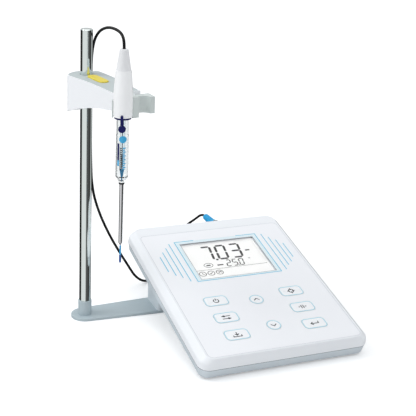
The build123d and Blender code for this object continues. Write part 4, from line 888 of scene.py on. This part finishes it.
def floor_material():
    """Floor with its colour lifted for the camera, so that its shadow stays; mirrors and
    glass look through it to the dark and bright sides of the world."""
    made = bpy.data.materials.new("studio_floor")
    made.use_nodes = True
    tree = made.node_tree
    tree.nodes.clear()
    link = tree.links.new
    path = tree.nodes.new("ShaderNodeLightPath").outputs
    away = tree.nodes.new("ShaderNodeVectorMath")
    away.operation = "LENGTH"
    link(tree.nodes.new("ShaderNodeTexCoord").outputs["Object"], away.inputs[0])
    rise = tree.nodes.new("ShaderNodeMapRange")
    for socket, value in (("From Min", FLOOR_NEAR), ("From Max", FLOOR_FAR),
                          ("To Min", FLOOR_LIFT), ("To Max", FLOOR_LIFT + FLOOR_RISE)):
        rise.inputs[socket].default_value = value
    link(away.outputs["Value"], rise.inputs["Value"])
    lift = maths(tree, "MULTIPLY", path["Is Camera Ray"], rise.outputs["Result"])
    both = tree.nodes.new("ShaderNodeAddShader")
    link(shade(tree, "ShaderNodeBsdfDiffuse", FLOOR_COLOUR), both.inputs[0])
    link(shade(tree, "ShaderNodeEmission", WHITE, lift), both.inputs[1])
    through = maths(tree, "MAXIMUM", path["Is Glossy Ray"], path["Is Transmission Ray"])
    clear = tree.nodes.new("ShaderNodeBsdfTransparent").outputs[0]
    out = tree.nodes.new("ShaderNodeOutputMaterial")
    link(mixed(tree, through, both.outputs[0], clear), out.inputs["Surface"])
    return made


floor_data = bpy.data.meshes.new("studio_floor")
floor_data.from_pydata([(x * FLOOR_HALF, y * FLOOR_HALF, 0)
                        for x, y in ((-1, -1), (1, -1), (1, 1), (-1, 1))], [], [[0, 1, 2, 3]])
floor = bpy.data.objects.new("studio_floor", floor_data)
floor.location.z = -FLOOR_DROP
bpy.context.collection.objects.link(floor)
floor_data.materials.append(floor_material())

# headings of the bright and dark sides that the pole mirrors: degrees from +X, brightness
SIDES = (
    (-180, 0.90), (-102, 0.90), (-88, 0.12), (-12, 0.04), (2, 0.70), (18, 0.70), (25, 0.03),
    (166, 0.03), (177, 0.90), (180, 0.90),
)
HORIZON = -0.02         # the sides are mirrored only by rays that fall more than this
SOFT_COLOUR = (0.97, 0.985, 1.0, 1)
SOFT_LIGHT = 0.68
AHEAD = Vector((0.3721, 0.8600, -0.3493))   # middle of the bright patch seen through glass
AHEAD_COS = 0.80        # cosine of the angle from its middle to its edge
GLASS_DARK = 0.2        # round that patch, under the horizon


def studio_world():
    """White for the camera; soft light; dark and bright sides for mirrors and glass."""
    world = bpy.data.worlds.new("studio")
    bpy.context.scene.world = world
    world.use_nodes = True
    tree = world.node_tree
    tree.nodes.clear()
    link = tree.links.new
    path = tree.nodes.new("ShaderNodeLightPath").outputs
    way = tree.nodes.new("ShaderNodeTexCoord").outputs["Generated"]
    split = tree.nodes.new("ShaderNodeSeparateXYZ")
    link(way, split.inputs[0])
    below = maths(tree, "LESS_THAN", split.outputs["Z"], HORIZON)

    heading = maths(tree, "ARCTAN2", split.outputs["Y"], split.outputs["X"])
    ramp = tree.nodes.new("ShaderNodeValToRGB")
    share = maths(tree, "ADD", maths(tree, "DIVIDE", heading, math.tau), 0.5)
    link(share, ramp.inputs["Fac"])
    elements = ramp.color_ramp.elements
    while len(elements) < len(SIDES):
        elements.new(0.5)
    for element, (angle, value) in zip(elements, SIDES):
        element.position = (angle + 180) / 360
        element.color = (value, value, value, 1)
    soft = shade(tree, "ShaderNodeBackground", SOFT_COLOUR, SOFT_LIGHT)
    sides = shade(tree, "ShaderNodeBackground", WHITE, ramp.outputs["Color"])
    mirrors = maths(tree, "MULTIPLY", path["Is Glossy Ray"], below)

    toward = tree.nodes.new("ShaderNodeVectorMath")
    toward.operation = "DOT_PRODUCT"
    link(way, toward.inputs[0])
    toward.inputs[1].default_value = AHEAD
    patch = maths(tree, "GREATER_THAN", toward.outputs["Value"], AHEAD_COS)
    bright = maths(tree, "MAXIMUM", patch, maths(tree, "SUBTRACT", 1.0, below))
    glass_side = shade(tree, "ShaderNodeBackground", WHITE,
                       maths(tree, "MAXIMUM", bright, GLASS_DARK))

    lit = mixed(tree, mirrors, soft, sides)
    lit = mixed(tree, path["Is Transmission Ray"], lit, glass_side)
    white = shade(tree, "ShaderNodeBackground", WHITE, 1.0)
    out = tree.nodes.new("ShaderNodeOutputWorld")
    link(mixed(tree, path["Is Camera Ray"], lit, white), out.inputs["Surface"])


studio_world()


# ---------------------------------------------------------------- lamps and camera
def lamp(name, place, target, size, power):
    """Soft square lamp pointed at a place."""
    data = bpy.data.lights.new(name, "AREA")
    data.shape = "SQUARE"
    data.size = size
    data.energy = power
    light = bpy.data.objects.new(name, data)
    light.location = place
    light.rotation_euler = (Vector(target) - Vector(place)).to_track_quat("-Z", "Y").to_euler()
    bpy.context.collection.objects.link(light)


lamp("key_light", place=(-1.2, 0.35, 1.35), target=(0, 0, 0.08), size=0.9, power=10.0)
lamp("top_light", place=(0.1, -0.3, 1.8), target=(0, 0, 0.05), size=1.4, power=6.0)

level_right = Vector((-CAMERA_BACK.y, CAMERA_BACK.x, 0)).normalized()
level_up = CAMERA_BACK.cross(level_right)
right = level_right * math.cos(CAMERA_ROLL) - level_up * math.sin(CAMERA_ROLL)
above = level_right * math.sin(CAMERA_ROLL) + level_up * math.cos(CAMERA_ROLL)
camera_data = bpy.data.cameras.new("camera")
camera_data.lens = LENS
camera_data.sensor_width = SENSOR
camera_data.clip_start = 0.01
camera_data.clip_end = 30.0
camera = bpy.data.objects.new("camera", camera_data)
camera.matrix_world = Matrix((
    (right.x, above.x, CAMERA_BACK.x, CAMERA.x),
    (right.y, above.y, CAMERA_BACK.y, CAMERA.y),
    (right.z, above.z, CAMERA_BACK.z, CAMERA.z),
    (0, 0, 0, 1),
))
bpy.context.collection.objects.link(camera)
bpy.context.scene.camera = camera
bpy.context.scene.view_settings.view_transform = "Standard"
